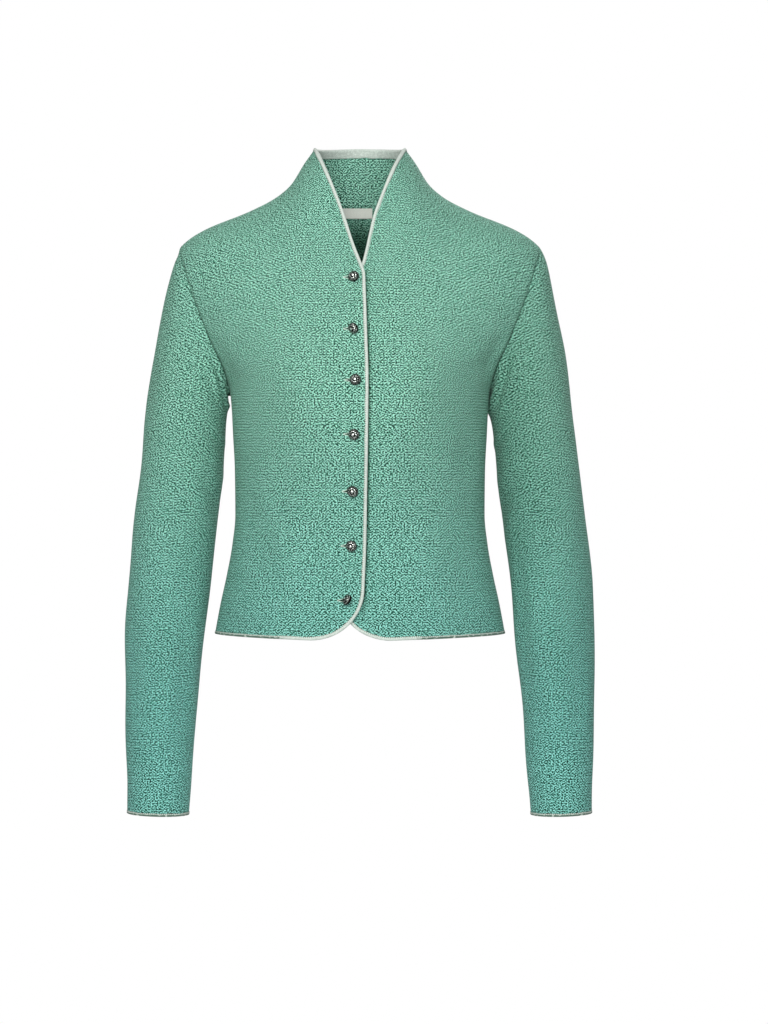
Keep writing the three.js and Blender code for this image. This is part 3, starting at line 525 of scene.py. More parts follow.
def frontPanel(side):
    # Rows run from the front edge to the side seam and armhole and rise from the hem to the collar
    # and shoulder, whose bow they take on; the lower front corner is rounded last.
    rowSide, rowCentre, follow = panelRows(
        cloth["hemFront"], cloth["underarmAtFront"], cloth["collarSide"])
    edgeX = (rightEdge if side < 0 else leftEdge)(rowCentre)
    away = roundTheOval(rowSide, edgeX, grid["frontColumns"] * finer)
    t = (away - edgeX) / (sideAt(rowSide) - edgeX)
    topX = mix(cloth["collarHalfWidth"], cloth["shoulderTipX"], t)
    bow = topLine(topX) - mix(cloth["collarSide"], cloth["shoulderTipZ"], t)
    hemZ = mix(cloth["hemFront"], cloth["hemSide"], t)
    z = mix(rowCentre, rowSide, t) + follow * bow
    # the square corner is squeezed into a round one: p x sqrt(1 - q^2 / 2) and the same for q
    p = 1 - (away - edgeX) / cloth["cornerWidth"]
    q = 1 - (z - hemZ) / cloth["cornerHeight"]
    corner = (p > 0) & (q > 0)
    roundP = p * np.sqrt(np.clip(1 - q * q / 2, 0, 1))
    roundQ = q * np.sqrt(np.clip(1 - p * p / 2, 0, 1))
    x = np.where(corner, edgeX + (1 - roundP) * cloth["cornerWidth"], away) * side
    z = np.where(corner, hemZ + (1 - roundQ) * cloth["cornerHeight"], z)
    points = frontSurface(x, z, side)
    normals = gridNormals(points, side < 0)
    normals[:lowerRows + 1, -1] = sideNormal(side, rowSide[:lowerRows + 1, 0])
    normals[-1] = topNormal(x[-1])
    bare = frontForm(x[:, -1], z[:, -1], side)
    return {"points": points, "normals": normals, "x": x, "z": z, "side": side, "armhole": bare}


def backPanel():
    # the same from side to side, with its columns crowded at the neck points
    rowSide, rowCentre, follow = panelRows(
        cloth["hemBack"], cloth["underarmAtBack"], cloth["backNeckHeight"])
    count = grid["backColumns"] * finer
    neck = grid["neckColumns"] * finer
    lowX = roundTheOval(rowSide, 0 * rowSide, count)
    i = np.arange(count + 1)
    onNeck = cloth["neckPoint"] * np.sin(np.clip(i / neck, 0, 1) * np.pi / 2)
    onShoulder = mix(cloth["neckPoint"], cloth["shoulderTipX"], (i - neck) / (count - neck))
    topX = np.where(i <= neck, onNeck, onShoulder)
    # the columns lean over to their places on the top line, drawn in to the armhole's own
    half = mix(lowX, topX * lowX[:, -1:] / topX[-1], follow)
    t = half / lowX[:, -1:]
    straight = mix(cloth["backNeckHeight"], cloth["shoulderTipZ"], topX / cloth["shoulderTipX"])
    bow = backTop(topX) - straight
    z = mix(rowCentre, rowSide, t) + follow * bow[None]
    x = np.concatenate([-half[:, :0:-1], half], 1)
    z = np.concatenate([z[:, :0:-1], z], 1)
    points = backSurface(x, z)
    normals = gridNormals(points, True)
    normals[:lowerRows + 1, 0] = sideNormal(-1, rowSide[:lowerRows + 1, 0])
    normals[:lowerRows + 1, -1] = sideNormal(1, rowSide[:lowerRows + 1, 0])
    onSeam = np.abs(np.arange(2 * count + 1) - count) >= neck
    normals[-1] = np.where(onSeam[:, None], topNormal(x[-1]), formNormal(backForm, x[-1], z[-1]))
    bare = {-1: backForm(x[:, 0], z[:, 0]), 1: backForm(x[:, -1], z[:, -1])}
    return {"points": points, "normals": normals, "x": x, "z": z, "armhole": bare}


def collarPanel():
    # rows rise from the collar seam to the upper edge while they draw in towards the neck
    up = (np.arange(grid["collarRows"] * finer + 1) / (grid["collarRows"] * finer))[:, None]
    neck = grid["neckColumns"] * finer
    share = np.sin(np.arange(-neck, neck + 1) / neck * np.pi / 2)[None]
    sideX = mix(cloth["neckPoint"], cloth["collarHalfWidth"], up)
    x = sideX * share
    z = mix(mix(cloth["backNeckHeight"], cloth["collarCentre"], up), topLine(sideX), share**2)
    # a slow roll from side to side that dies away at the seams
    roll = cloth["collarRoll"] * np.sin(x / cloth["collarWave"] + 0.8)
    roll = roll * smoothStep(up / 0.2) * np.sin(np.pi * (1 - share**2) / 2)
    relief = roll - seamDip(z - backTop(np.abs(x)))
    points = backForm(x, z) + formNormal(backForm, x, z) * relief[..., None]
    points[0, :, 2] += cloth["seamGap"]
    normals = gridNormals(points, True)
    for i in (0, -1):
        normals[:, i] = topNormal(x[:, i])
    normals[0, 1:-1] = formNormal(backForm, x[0, 1:-1], z[0, 1:-1])
    return {"points": points, "normals": normals, "x": x, "z": z}


def sleevePanel(side, front, back):
    # Rings from the armhole to the cuff. Each is an oval between the outer and inner ends that
    # the table gives, and the armhole's own shape fades out of them down the upper arm.
    up = front["armhole"][lowerRows:]
    down = back["armhole"][side][lowerRows + 1:-1][::-1]
    ring = np.concatenate([up, down])
    onFront = np.arange(len(ring)) < len(up)
    shared = np.zeros(len(ring), bool)
    shared[[0, len(up) - 1]] = True
    ring[shared, 1] = 0
    middle = (cloth["underarmZ"] + cloth["shoulderTipZ"]) / 2
    halfHeight = (cloth["shoulderTipZ"] - cloth["underarmZ"]) / 2
    angle = np.arccos(np.clip((ring[:, 2] - middle) / halfHeight, -1, 1)) * np.where(onFront, 1, -1)
    share = (np.arange(grid["sleeveSpans"] * finer + 1) / (grid["sleeveSpans"] * finer))[:, None]
    at = {name: curve(share) for name, curve in sleeveAt.items()}
    nearer = sleeve["rests"][side] * bell(share - sleeve["restsAt"], sleeve["restsOver"])
    at["inX"] = at["inX"] - nearer
    along = (1 + np.cos(angle)) / 2
    oval = np.stack([mix(at["inX"], at["outX"], along) * side,
                     at["y"] - at["depth"] * np.sin(angle),
                     mix(at["inZ"], at["outZ"], along)], -1)
    keep = 1 - smoothStep(share / sleeve["fadeOut"])
    points = oval + keep[..., None] * (ring - oval[0])[None]
    normals = gridNormals(points, side > 0, closed=True)
    # folds live on the sleeve laid open: length down it, and the turn round it in mm
    turn = np.degrees(angle) % 360
    length = share * sleeve["length"]
    perDegree = 2 * np.pi * sleeve["radius"] / 360
    rows = [(fromTurn * perDegree, fromShare * sleeve["length"],
             toTurn * perDegree, toShare * sleeve["length"], deep, half, bow)
            for fromShare, fromTurn, toShare, toTurn, deep, half, bow in sleeveFolds[side]]
    atCuff = mix(sleeve["cuffHeld"], 1, smoothStep((1 - share) / sleeve["cuffOver"]))
    swell = unevenness(points[..., 0] + points[..., 1], points[..., 2], 20 + side, sleeve["uneven"])
    folds = troughs(turn[None] * perDegree, length, rows) + swell
    relief = smoothStep(share / sleeve["foldsFrom"]) * atCuff * folds - seamDip(length)
    points = points + normals * relief[..., None]
    normals = gridNormals(points, side > 0, closed=True)
    # the armhole seam is mitred along the mean of the two pieces' normals
    backSide = 0 if side < 0 else -1
    beside = np.concatenate([front["normals"][lowerRows:, -1],
                             back["normals"][lowerRows + 1:-1, backSide][::-1]])
    mitre = normals[0] + beside
    mitre[shared, 1] = 0
    mitre = unit(mitre)
    normals[0] = mitre
    front["normals"][lowerRows:, -1] = mitre[onFront]
    back["normals"][lowerRows + 1:-1, backSide] = mitre[~onFront][::-1]
    for row, k in ((lowerRows, 0), (lastRow, len(up) - 1)):
        back["normals"][row, backSide] = mitre[k]
    # the seam's crack, square to it along the cloth
    points[0] += unit(np.cross(travelAlong(points[0], True), mitre) * side) * cloth["seamShows"]
    return {"points": points, "normals": normals, "length": length, "turn": turn}


def gridFaces(ids, uv):
    # four corners of every cell of a grid, as vertex ids and as places on the cloth laid flat
    quads = np.stack([ids[:-1, :-1], ids[:-1, 1:], ids[1:, 1:], ids[1:, :-1]], -1).reshape(-1, 4)
    corners = np.stack([uv[:-1, :-1], uv[:-1, 1:], uv[1:, 1:], uv[1:, :-1]], -2).reshape(-1, 4, 2)
    return quads, corners


def closeColumns(array):
    # the first column again after the last
    return np.concatenate([array, array[:, :1]], 1)


def endFaces(ids, uv):
    # one face over each open end of a tube whose columns are closed
    return np.stack([ids[0, -2::-1], ids[-1, :-1]]), np.stack([uv[0, -2::-1], uv[-1, :-1]])


def makePiece(name, points, faces, material, replaced=(), values=None):
    # faces is a list of (vertex ids, uv corners), one array for each count of corners; the whole
    # is turned if the volume under its fans of triangles comes out negative
    volume = 0
    for ids, _ in faces:
        fan = points[ids]
        wedge = np.cross(fan[:, 1:-1], fan[:, 2:])
        volume += np.einsum("ij,ikj->", fan[:, 0], wedge)
    if volume < 0:
        faces = [(ids[:, ::-1], corners[:, ::-1]) for ids, corners in faces]
    polygons = [polygon for ids, _ in faces for polygon in ids.tolist()]
    mesh = bpy.data.meshes.new(name)
    mesh.from_pydata((points * millimetre).tolist(), [], polygons)
    corners = np.concatenate([corners.reshape(-1, 2) for _, corners in faces])
    mesh.uv_layers.new(name="cloth").data.foreach_set("uv", corners.ravel())
    mesh.polygons.foreach_set("use_smooth", np.ones(len(polygons), bool))
    for key, data in (values or {}).items():
        mesh.attributes.new(key, "FLOAT", "POINT").data.foreach_set("value", data.astype(np.float32))
    mesh.materials.append(material)
    mesh.update()
    item = bpy.data.objects.new(name, mesh)
    bpy.context.collection.objects.link(item)
    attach(item, "root")
    if replaced:
        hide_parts(*replaced)
    return item


def wallFaces(count, rows, uv, closed):
    # outer face, inner face and the rims between them, all turned the same way
    outer = np.arange(count).reshape(rows, -1)
    inner = outer + count
    if closed:
        outer, inner = closeColumns(outer), closeColumns(inner)
    faces = [gridFaces(outer, uv), gridFaces(inner[::-1], uv[::-1])]
    faces.append(gridFaces(np.stack([inner[0], outer[0]]), np.stack([uv[0], uv[0]])))
    faces.append(gridFaces(np.stack([outer[-1], inner[-1]]), np.stack([uv[-1], uv[-1]])))
    if not closed:
        for first, second, k in ((inner, outer, 0), (outer, inner, -1)):
            edgeUv = np.stack([uv[:, k], uv[:, k]], 1)
            faces.append(gridFaces(np.stack([first[:, k], second[:, k]], 1), edgeUv))
    return faces


def makeWall(name, panel, uv, material, replaced, thickness=cloth["thickness"], closed=False):
    # the panel's grid as the outer face, and the same moved in along its normals as the inner one
    outer = panel["points"]
    inner = outer - panel["normals"] * thickness
    rows = len(outer)
    points = np.concatenate([outer.reshape(-1, 3), inner.reshape(-1, 3)])
    faces = wallFaces(outer[..., 0].size, rows, uv, closed)
    # what the panel gives each vertex of its outer face, and of its inner one where that differs
    outside = panel.get("values", {})
    inside = panel.get("inside", outside)
    values = {key: np.concatenate([outside[key].ravel(), inside[key].ravel()]) for key in outside}
    return makePiece(name, points, faces, material, replaced, values)


def arcAlong(points, axis, start=0):
    # arc length along one axis of a grid, zero at the line start
    step = np.linalg.norm(np.diff(points, axis=axis), axis=-1)
    pad = [(0, 0), (0, 0)]
    pad[axis] = (1, 0)
    length = np.cumsum(np.pad(step, pad), axis)
    return length - np.take(length, [start], axis)


courses = {
    # how far the knit's courses lean: mm of droop for each mm outside droopFrom, which grows up the
    # body from droopLow, and on a sleeve mm for each mm across, less at the cuff than at the top
    "droop": 0.36, "droopFrom": 70, "droopLow": -210, "droopOver": 130,
    "tiltLow": 0.05, "tiltHigh": 0.34, "tiltFrom": -420, "tiltOver": 380, "tiltAbout": 190,
}


def bodyUv(panel, startColumn):
    # Across: arc length from the start column plus that column's own place. Up: height, plus what
    # the cloth gains where it leans back, and the courses droop towards the armhole.
    points, x, z = panel["points"], panel["x"], panel["z"]
    start = x[:, [startColumn]]
    across = arcAlong(points, 1, startColumn) + np.abs(start) * np.sign(x[:, [-1]] * start)
    gain = arcAlong(points * np.array([0, 1, 1]), 0) - arcAlong(points * np.array([0, 0, 1]), 0)
    outside = np.maximum(np.abs(x) - courses["droopFrom"], 0)
    droop = courses["droop"] * outside * smoothStep((z - courses["droopLow"]) / courses["droopOver"])
    return np.stack([across, z + gain + droop], -1)


def sleeveUv(panel):
    # Across: the turn round the sleeve's oval section at that height, times its mean radius. Up:
    # height, tilted square to the sleeve's own lean. Above the underarm the oval keeps its width.
    points = closeColumns(panel["points"])
    away, z = np.abs(points[..., 0]), points[..., 2]
    level = {key: np.interp(-z, -np.array(sleeveRows[rows]), sleeveRows[key])
             for key, rows in (("outX", "outZ"), ("inX", "inZ"), ("depth", "outZ"), ("y", "outZ"))}
    half = np.where(z < sleeve["level"], (level["outX"] - level["inX"]) / 2, sleeve["half"])
    turn = np.arctan2((level["y"] - points[..., 1]) / level["depth"],
                      (away - level["outX"] + half) / half)
    turn = np.unwrap(turn, axis=1)
    turn -= 2 * np.pi * np.round((turn[:, :1] - np.pi) / (2 * np.pi))
    high = smoothStep((z - courses["tiltFrom"]) / courses["tiltOver"])
    tilt = mix(courses["tiltLow"], courses["tiltHigh"], high)
    across = turn * (half + level["depth"]) / 2
    return np.stack([across, z + tilt * (away - courses["tiltAbout"])], -1)


knit = {
    # milled (lightly felted) wool in heather yarn: loops half hidden by a short nap, so the eye
    # gets fine broken cross ribs, sharp light and dark flecks, and no gloss
    "ramp": ((0.2, "#06261b"), (0.5, "#3b896e"), (0.8, "#a3dec9")),  # dark, middle and light flecks
    "lowTint": "#dcf2ff",  # the colour is made darker and cooler towards hems and cuffs
    "tintFrom": -0.15, "tintTo": -0.6,  # m
    # the dark green that painted shade multiplies in, then the sheen's tint
    "paintedShadeColour": "#1d5f46", "nap": "#d5efe2",
    # sizes in mm across and up: real courses are 2 mm, drawn at 3 so that they show
    "course": 3.0, "courseBreaks": (4, 2.5), "loopWide": 2.4,
    "weave": (4.2, 3.0), "weaveBreaks": (6, 3),
    "fibre": (0.95, 0.95), "cloud": (38, 26), "wander": (13, 8),
    "speck": (1.65, 0.98),  # hairs of the heather yarn, drawn about as fine as can show
    "drift": (3.0, 1.6, 0.0),  # mm that the pattern wanders, across and up
    "stray": 4,  # radians that the legs of the loops stray from an even spacing, times noise
    "bump": 0.16, "courseRise": 0.8, "loopRise": 0.55, "fibreRise": 0.5,  # mm, and shares of it
    "roughness": 0.94, "sheen": 0.08, "sheenRoughness": 0.5, "specular": 0.2,
    # how much each part of the pattern moves the fleck value, and its own middle
    "byLoop": (0.2, 0.6), "byTone": (0.06, 0.5), "byFibre": (1.5, 0.5), "byCourse": (0.7, 0.25),
    "byCloud": (0.06, 0.5), "byWeave": (0.5, 0.0), "bySpeck": (2.5, 0.5),
}
braid = {
    # flat knitted wool braid, folded over the edge: small slanting ribs, chalky and matt, with a
    # row of sewing marks beside the cloth, a greyer, soiled look where it is handled, and painted
    # shade along the hem's downward fold
    "ramp": ((0.2, "#74897d"), (0.5, "#cfddd3"), (0.78, "#eef6ef")),
    # a darker green-grey in patches: dirt where it is handled, painted shade on the hem's fold
    "soiledAndShaded": "#64796f", "darkPatchBy": 2.4, "darkPatchFrom": -0.5,
    "rib": 1.5, "slant": 0.8, "mark": 2.3,  # mm, but slant is mm for each mm
    "markLine": 1.35, "markFrom": 0.8, "markTo": 0.3,  # mm: where the marks lie and their line fades
    "fibre": (1.3, 1.3), "blotch": (3.6, 2.6),  # mm
    "plain": 0.1, "byRib": 0.22, "byFibre": 0.6, "byBlotch": 0.3, "byMark": -0.75,
    "bump": 0.35, "roughness": 0.9, "sheen": 0.15, "specular": 0.2,
}
metal = {
    # cast white metal with an antique finish: dark in the relief, rubbed bright on the high parts
    "ramp": ((0.2, "#050806"), (0.45, "#2c352f"), (0.72, "#eef5ef")),  # recess, body, rubbed parts
    "pit": 0.9, "byPit": 1.3, "bump": 0.1, "bumpStrength": 0.4,  # pits 0.9 mm apart, 0.1 mm deep
    "recessRoughness": 0.36, "byRubbed": -0.16,
}
tape = {
    # plain woven polyester satin tape: fine close threads with a faint gloss
    "ramp": ((0, "#dcdfd5"), (1, "#f2f4ed")), "thread": 0.7, "bump": 0.12, "roughness": 0.6,  # mm
}
thread = {
    # pale spun sewing thread, whose two plies are half a millimetre apart
    "ramp": ((0.3, "#c2dccb"), (0.7, "#f1faf2")), "ply": 0.5, "roughness": 0.8,
}
# wool in the dark between two layers: a matt green that is nearly black
shadow = {"colour": "#0f2219", "roughness": 1.0, "specular": 0.0}


def newMaterial(name, **constants):
    # a material with its shader's constants set: roughness is given as Roughness and so on
    material = bpy.data.materials.new(name)
    material.use_nodes = True
    shader = material.node_tree.nodes["Principled BSDF"]
    for socket, value in constants.items():
        shader.inputs[socket.replace("_", " ")].default_value = value
    return material, material.node_tree, shader.inputs


def spots(tree, place, size, detail, output="Fac"):
    # cloudy spots of about size[0] x size[1] mm
    spread = addNode(tree, "Mapping", {"Vector": place, "Scale": (1 / size[0], 1 / size[1], 1)})
    return addNode(tree, "TexNoise", {"Vector": spread, "Scale": 1.0, "Detail": detail}, output,
                   noise_dimensions="2D")


def wave(tree, along, size):
    # sin(2 pi along / size)
    turns = addNode(tree, "Math", [along, 2 * math.pi / size], operation="MULTIPLY")
    return addNode(tree, "Math", [turns], operation="SINE")


def dress(tree, inputs, colour, height=None, depth=0, strength=1.0):
    # lead the pattern's colour to the shader, and its relief of so many mm as bump
    tree.links.new(colour, inputs["Base Color"])
    if height:
        relief = {"Strength": strength, "Distance": depth * millimetre, "Height": height}
        tree.links.new(addNode(tree, "Bump", relief), inputs["Normal"])


def flatCloth(tree):
    # places on the cloth laid flat, in mm: the vector and its two parts
    flat = addNode(tree, "UVMap", output="UV", uv_map="cloth")
    return flat, addNode(tree, "SeparateXYZ", [flat]), addNode(tree, "SeparateXYZ", [flat], "Y")


def makeKnit():
    material, tree, inputs = newMaterial(
        "milled heather wool knit", Roughness=knit["roughness"], Sheen_Weight=knit["sheen"],
        Sheen_Roughness=knit["sheenRoughness"], Sheen_Tint=linear(knit["nap"]),
        Specular_IOR_Level=knit["specular"])
    flat, _, _ = flatCloth(tree)
    wander = spots(tree, flat, knit["wander"], 2.0, "Color")
    wander = addNode(tree, "VectorMath", [wander, (0.5, 0.5, 0.5)], operation="SUBTRACT")
    wavy = addNode(tree, "VectorMath", [wander, knit["drift"], flat], operation="MULTIPLY_ADD")
    # courses: a soft ridge at every row of loops, 0.5 + 0.5 sin(up), that breaks up along its length
    course = wave(tree, addNode(tree, "SeparateXYZ", [wavy], "Y"), knit["course"])
    course = addNode(tree, "Math", [course, 0.5, 0.5], operation="MULTIPLY_ADD")
    broken = spots(tree, wavy, knit["courseBreaks"], 1.0)
    course = addNode(tree, "Math", [course, broken], operation="MULTIPLY")
    # loops: uneven cells, light in the middle, each in its own tone
    loopSize = (1 / knit["loopWide"], 1 / knit["course"], 1)
    cells = {"Vector": addNode(tree, "Mapping", {"Vector": wavy, "Scale": loopSize}),
             "Scale": 1.0, "Randomness": 0.6}
    tone = addNode(tree, "TexVoronoi", cells, "Color", voronoi_dimensions="2D")
    tone = addNode(tree, "SeparateColor", [tone], "Red")
    loop = addNode(tree, "TexVoronoi", cells, "Distance", voronoi_dimensions="2D")
    loop = addNode(tree, "Math", [1.0, loop], operation="SUBTRACT")
    # slanting legs of the loops: sin(u + stray) x sin(v), which reads as short uneven dashes in rows
    turns = tuple(2 * math.pi / size for size in knit["weave"]) + (1,)
    legs = addNode(tree, "Mapping", {"Vector": wavy, "Scale": turns})
    across = addNode(tree, "Math", [spots(tree, wavy, knit["weaveBreaks"], 0.0), knit["stray"],
                                    addNode(tree, "SeparateXYZ", [legs])], operation="MULTIPLY_ADD")
    across = addNode(tree, "Math", [across], operation="SINE")
    down = addNode(tree, "Math", [addNode(tree, "SeparateXYZ", [legs], "Y")], operation="SINE")
    weave = addNode(tree, "Math", [across, down], operation="MULTIPLY")
    fibre = spots(tree, wavy, knit["fibre"], 1.0)
    parts = {"byLoop": loop, "byTone": tone, "byFibre": fibre, "byCourse": course,
             "byCloud": spots(tree, flat, knit["cloud"], 3.0), "byWeave": weave,
             "bySpeck": spots(tree, flat, knit["speck"], 0.0)}
    fleck = 0.5
    for name, part in parts.items():
        weight, middle = knit[name]
        part = addNode(tree, "Math", [part, middle], operation="SUBTRACT")
        fleck = addNode(tree, "Math", [part, weight, fleck], operation="MULTIPLY_ADD")
    colour = addNode(tree, "ValToRGB", [fleck], stops=knit["ramp"])
    height = addNode(tree, "SeparateXYZ", [addNode(tree, "TexCoord", output="Object")], "Z")
    low = {"Value": height, "From Min": knit["tintFrom"], "From Max": knit["tintTo"]}
    low = addNode(tree, "MapRange", low, interpolation_type="SMOOTHSTEP")
    # painted shade: a per-vertex share of that dark green, multiplied into the colour
    wearAndPaintedShade = addNode(tree, "Attribute", output="Fac", attribute_name="crease")
    for factor, tint in ((low, "lowTint"), (wearAndPaintedShade, "paintedShadeColour")):
        colour = {"Factor": factor, "A": colour, "B": linear(knit[tint])}
        colour = addNode(tree, "Mix", colour, "Result", data_type="RGBA", blend_type="MULTIPLY")
    relief = addNode(tree, "Math", [loop, knit["loopRise"]], operation="MULTIPLY")
    relief = addNode(tree, "Math", [course, knit["courseRise"], relief], operation="MULTIPLY_ADD")
    relief = addNode(tree, "Math", [fibre, knit["fibreRise"], relief], operation="MULTIPLY_ADD")
    dress(tree, inputs, colour, relief, knit["bump"])
    return material


def makeBraid():
    material, tree, inputs = newMaterial(
        "knitted wool braid", Roughness=braid["roughness"], Sheen_Weight=braid["sheen"],
        Specular_IOR_Level=braid["specular"])
    flat, along, over = flatCloth(tree)
    # ribs slant one way on one half of the braid and the other way on the other half
    rib = addNode(tree, "Math", [over], operation="ABSOLUTE")
    rib = addNode(tree, "Math", [rib, braid["slant"], along], operation="MULTIPLY_ADD")
    rib = addNode(tree, "Math", [wave(tree, rib, braid["rib"]), 0.5, 0.5], operation="MULTIPLY_ADD")
    fibre = spots(tree, flat, braid["fibre"], 3.0)
    blotch = spots(tree, flat, braid["blotch"], 1.0)
    # sewing marks: a dark dash at every stitch, in a line beside the cloth
    stitch = [wave(tree, along, braid["mark"]), 0.5, 0.4]
    stitch = addNode(tree, "Math", stitch, operation="MULTIPLY_ADD")
    line = addNode(tree, "Math", [over, braid["markLine"]], operation="ADD")
    line = addNode(tree, "Math", [line], operation="ABSOLUTE")
    line = {"Value": line, "From Min": braid["markFrom"], "From Max": braid["markTo"]}
    line = addNode(tree, "MapRange", line)
    sewn = addNode(tree, "Math", [line, stitch], operation="MULTIPLY")
    tone = braid["plain"]
    for part, weight in ((rib, "byRib"), (fibre, "byFibre"), (blotch, "byBlotch"), (sewn, "byMark")):
        tone = addNode(tree, "Math", [part, braid[weight], tone], operation="MULTIPLY_ADD")
    colour = addNode(tree, "ValToRGB", [tone], stops=braid["ramp"])
    # dirt gathers in patches where the strip is given as dull; on the hem's fold the same dark
    # patches are painted shade
    patchy = [blotch, braid["darkPatchBy"], braid["darkPatchFrom"]]
    patchy = addNode(tree, "Math", patchy, operation="MULTIPLY_ADD")
    dull = addNode(tree, "Attribute", output="Fac", attribute_name="dull")
    dull = addNode(tree, "Math", [dull, addNode(tree, "Clamp", [patchy])], operation="MULTIPLY")
    colour = {"Factor": dull, "A": colour, "B": linear(braid["soiledAndShaded"])}
    colour = addNode(tree, "Mix", colour, "Result", data_type="RGBA", blend_type="MULTIPLY")
    dress(tree, inputs, colour, addNode(tree, "Math", [rib, fibre], operation="ADD"), braid["bump"])
    return material


def makeMetal():
    material, tree, inputs = newMaterial("antique cast white metal", Metallic=1.0)
    # how far the finish is rubbed bright: on a button this is only real wear of the high parts
    high = addNode(tree, "Attribute", output="Fac", attribute_name="wearAndPaintedShade")
    place = addNode(tree, "TexCoord", output="Object")
    closeness = 1 / (metal["pit"] * millimetre)
    pits = addNode(tree, "TexNoise", {"Vector": place, "Scale": closeness, "Detail": 2.0})
    tone = addNode(tree, "Math", [pits, 0.5], operation="SUBTRACT")
    tone = addNode(tree, "Math", [tone, metal["byPit"], high], operation="MULTIPLY_ADD")
    colour = addNode(tree, "ValToRGB", [tone], stops=metal["ramp"])
    rough = [high, metal["byRubbed"], metal["recessRoughness"]]
    rough = addNode(tree, "Math", rough, operation="MULTIPLY_ADD")
    tree.links.new(rough, inputs["Roughness"])
    dress(tree, inputs, colour, pits, metal["bump"], metal["bumpStrength"])
    return material


def makeTape():
    material, tree, inputs = newMaterial("woven satin tape", Roughness=tape["roughness"])
    flat, *ways = flatCloth(tree)
    # warp and weft: 0.5 + 0.5 sin(along) x sin(across)
    threads = [wave(tree, way, tape["thread"]) for way in ways]
    weave = addNode(tree, "Math", threads, operation="MULTIPLY")
    weave = addNode(tree, "Math", [weave, 0.5, 0.5], operation="MULTIPLY_ADD")
    dress(tree, inputs, addNode(tree, "ValToRGB", [weave], stops=tape["ramp"]), weave, tape["bump"])
    return material


def makeThread():
    material, tree, inputs = newMaterial("spun sewing thread", Roughness=thread["roughness"])
    ply = spots(tree, flatCloth(tree)[0], (thread["ply"], thread["ply"]), 1.0)
    dress(tree, inputs, addNode(tree, "ValToRGB", [ply], stops=thread["ramp"]))
    return material


def makeShadow():
    return newMaterial("wool in the shadow of a slit", Roughness=shadow["roughness"],
                       Base_Color=linear(shadow["colour"]), Specular_IOR_Level=shadow["specular"])[0]


knitMaterial = makeKnit()
slitMaterial = makeShadow()
braidMaterial = makeBraid()
metalMaterial = makeMetal()
tapeMaterial = makeTape()
threadMaterial = makeThread()
print("materials made")

frontRight = frontPanel(-1)
frontLeft = frontPanel(1)
back = backPanel()
collar = collarPanel()
sleeveRight = sleevePanel(-1, frontRight, back)
sleeveLeft = sleevePanel(1, frontLeft, back)

crease = {
    # painted shade that darkens the wool where two layers meet: under the lap's edge, at the seams
    "lapOut": 1.6, "lapHalf": 1.7, "lap": 0.9,
    "lapTop": -62, "lapTopOver": 14, "lapLow": -448, "lapLowOver": 30,
    "deepFrom": 6, "deepOver": 34, "deep": 0.82,
    "seamHalf": 1.3, "seam": 0.3, "fadeFrom": -150, "fadeTo": -70,
    # and painted shade on the sleeves, most of all on their side towards the body
    "sleeve": {-1: 0.04, 1: 0.11}, "sleeveFrom": -640, "sleeveTo": -440,
    "wearAndPaintedShade": {-1: 0.02, 1: 0.2}, "wearAndPaintedShadeFrom": -420, "wearAndPaintedShadeTo": -300,
    "shadeTurn": 135, "shadeTurnOver": 75,  # degrees to either side of the line nearest the body
}


def fadeIn(value, key):
    # 0 below the table's own From for that key, 1 above its To
    return smoothStep((value - crease[key + "From"]) / (crease[key + "To"] - crease[key + "From"]))


def seamShade(fromSeam, z):
    # painted shade: a Gaussian beside the armhole seam that fades towards the underarm
    return crease["seam"] * bell(fromSeam, crease["seamHalf"]) * fadeIn(z, "fade")


for panel in (frontRight, frontLeft, back):
    fromSide = sideAt(panel["z"]) - np.abs(panel["x"])
    panel["values"] = {"crease": seamShade(fromSide, panel["z"])}
for side, panel in ((-1, sleeveRight), (1, sleeveLeft)):
    z = panel["points"][..., 2]
    fromBody = np.abs(panel["turn"] - 180)
    towardsBody = smoothStep((crease["shadeTurn"] - fromBody) / crease["shadeTurnOver"])
    # painted shade on the sleeve: over its upper part, and more on its side towards the body
    sleeveShade = (crease["sleeve"][side] * fadeIn(z, "sleeve")
            + crease["wearAndPaintedShade"][side] * towardsBody * fadeIn(z, "wearAndPaintedShade"))
    panel["values"] = {"crease": seamShade(panel["length"], z) + sleeveShade}
# the back's inner face is in the dark below the neck
below = (crease["deepFrom"] - back["z"]) / crease["deepOver"]
back["inside"] = {"crease": crease["deep"] * smoothStep(below)}
# painted shadow of the right front's edge beside it: a Gaussian that fades where the neckline opens
# and at the hem
beside = frontLeft["x"] + rightEdge(frontLeft["z"]) - crease["lapOut"]
covered = (smoothStep((crease["lapTop"] - frontLeft["z"]) / crease["lapTopOver"])
           * smoothStep((frontLeft["z"] - crease["lapLow"]) / crease["lapLowOver"]))
frontLeft["values"]["crease"] = np.maximum(
    frontLeft["values"]["crease"], crease["lap"] * covered * bell(beside, crease["lapHalf"]))

pieces = {
    name: makeWall(name + "_knit", panel, uv, knitMaterial, (name,),
                   closed=name.startswith("sleeve"))
    for name, panel, uv in (
        ("front_right", frontRight, bodyUv(frontRight, 0)),
        ("front_left", frontLeft, bodyUv(frontLeft, 0)),
        ("back", back, bodyUv(back, grid["backColumns"] * finer)),
        ("collar_back", collar, bodyUv(collar, grid["neckColumns"] * finer)),
        ("sleeve_right", sleeveRight, sleeveUv(sleeveRight)),
        ("sleeve_left", sleeveLeft, sleeveUv(sleeveLeft)),
    )
}
print("knit pieces made")

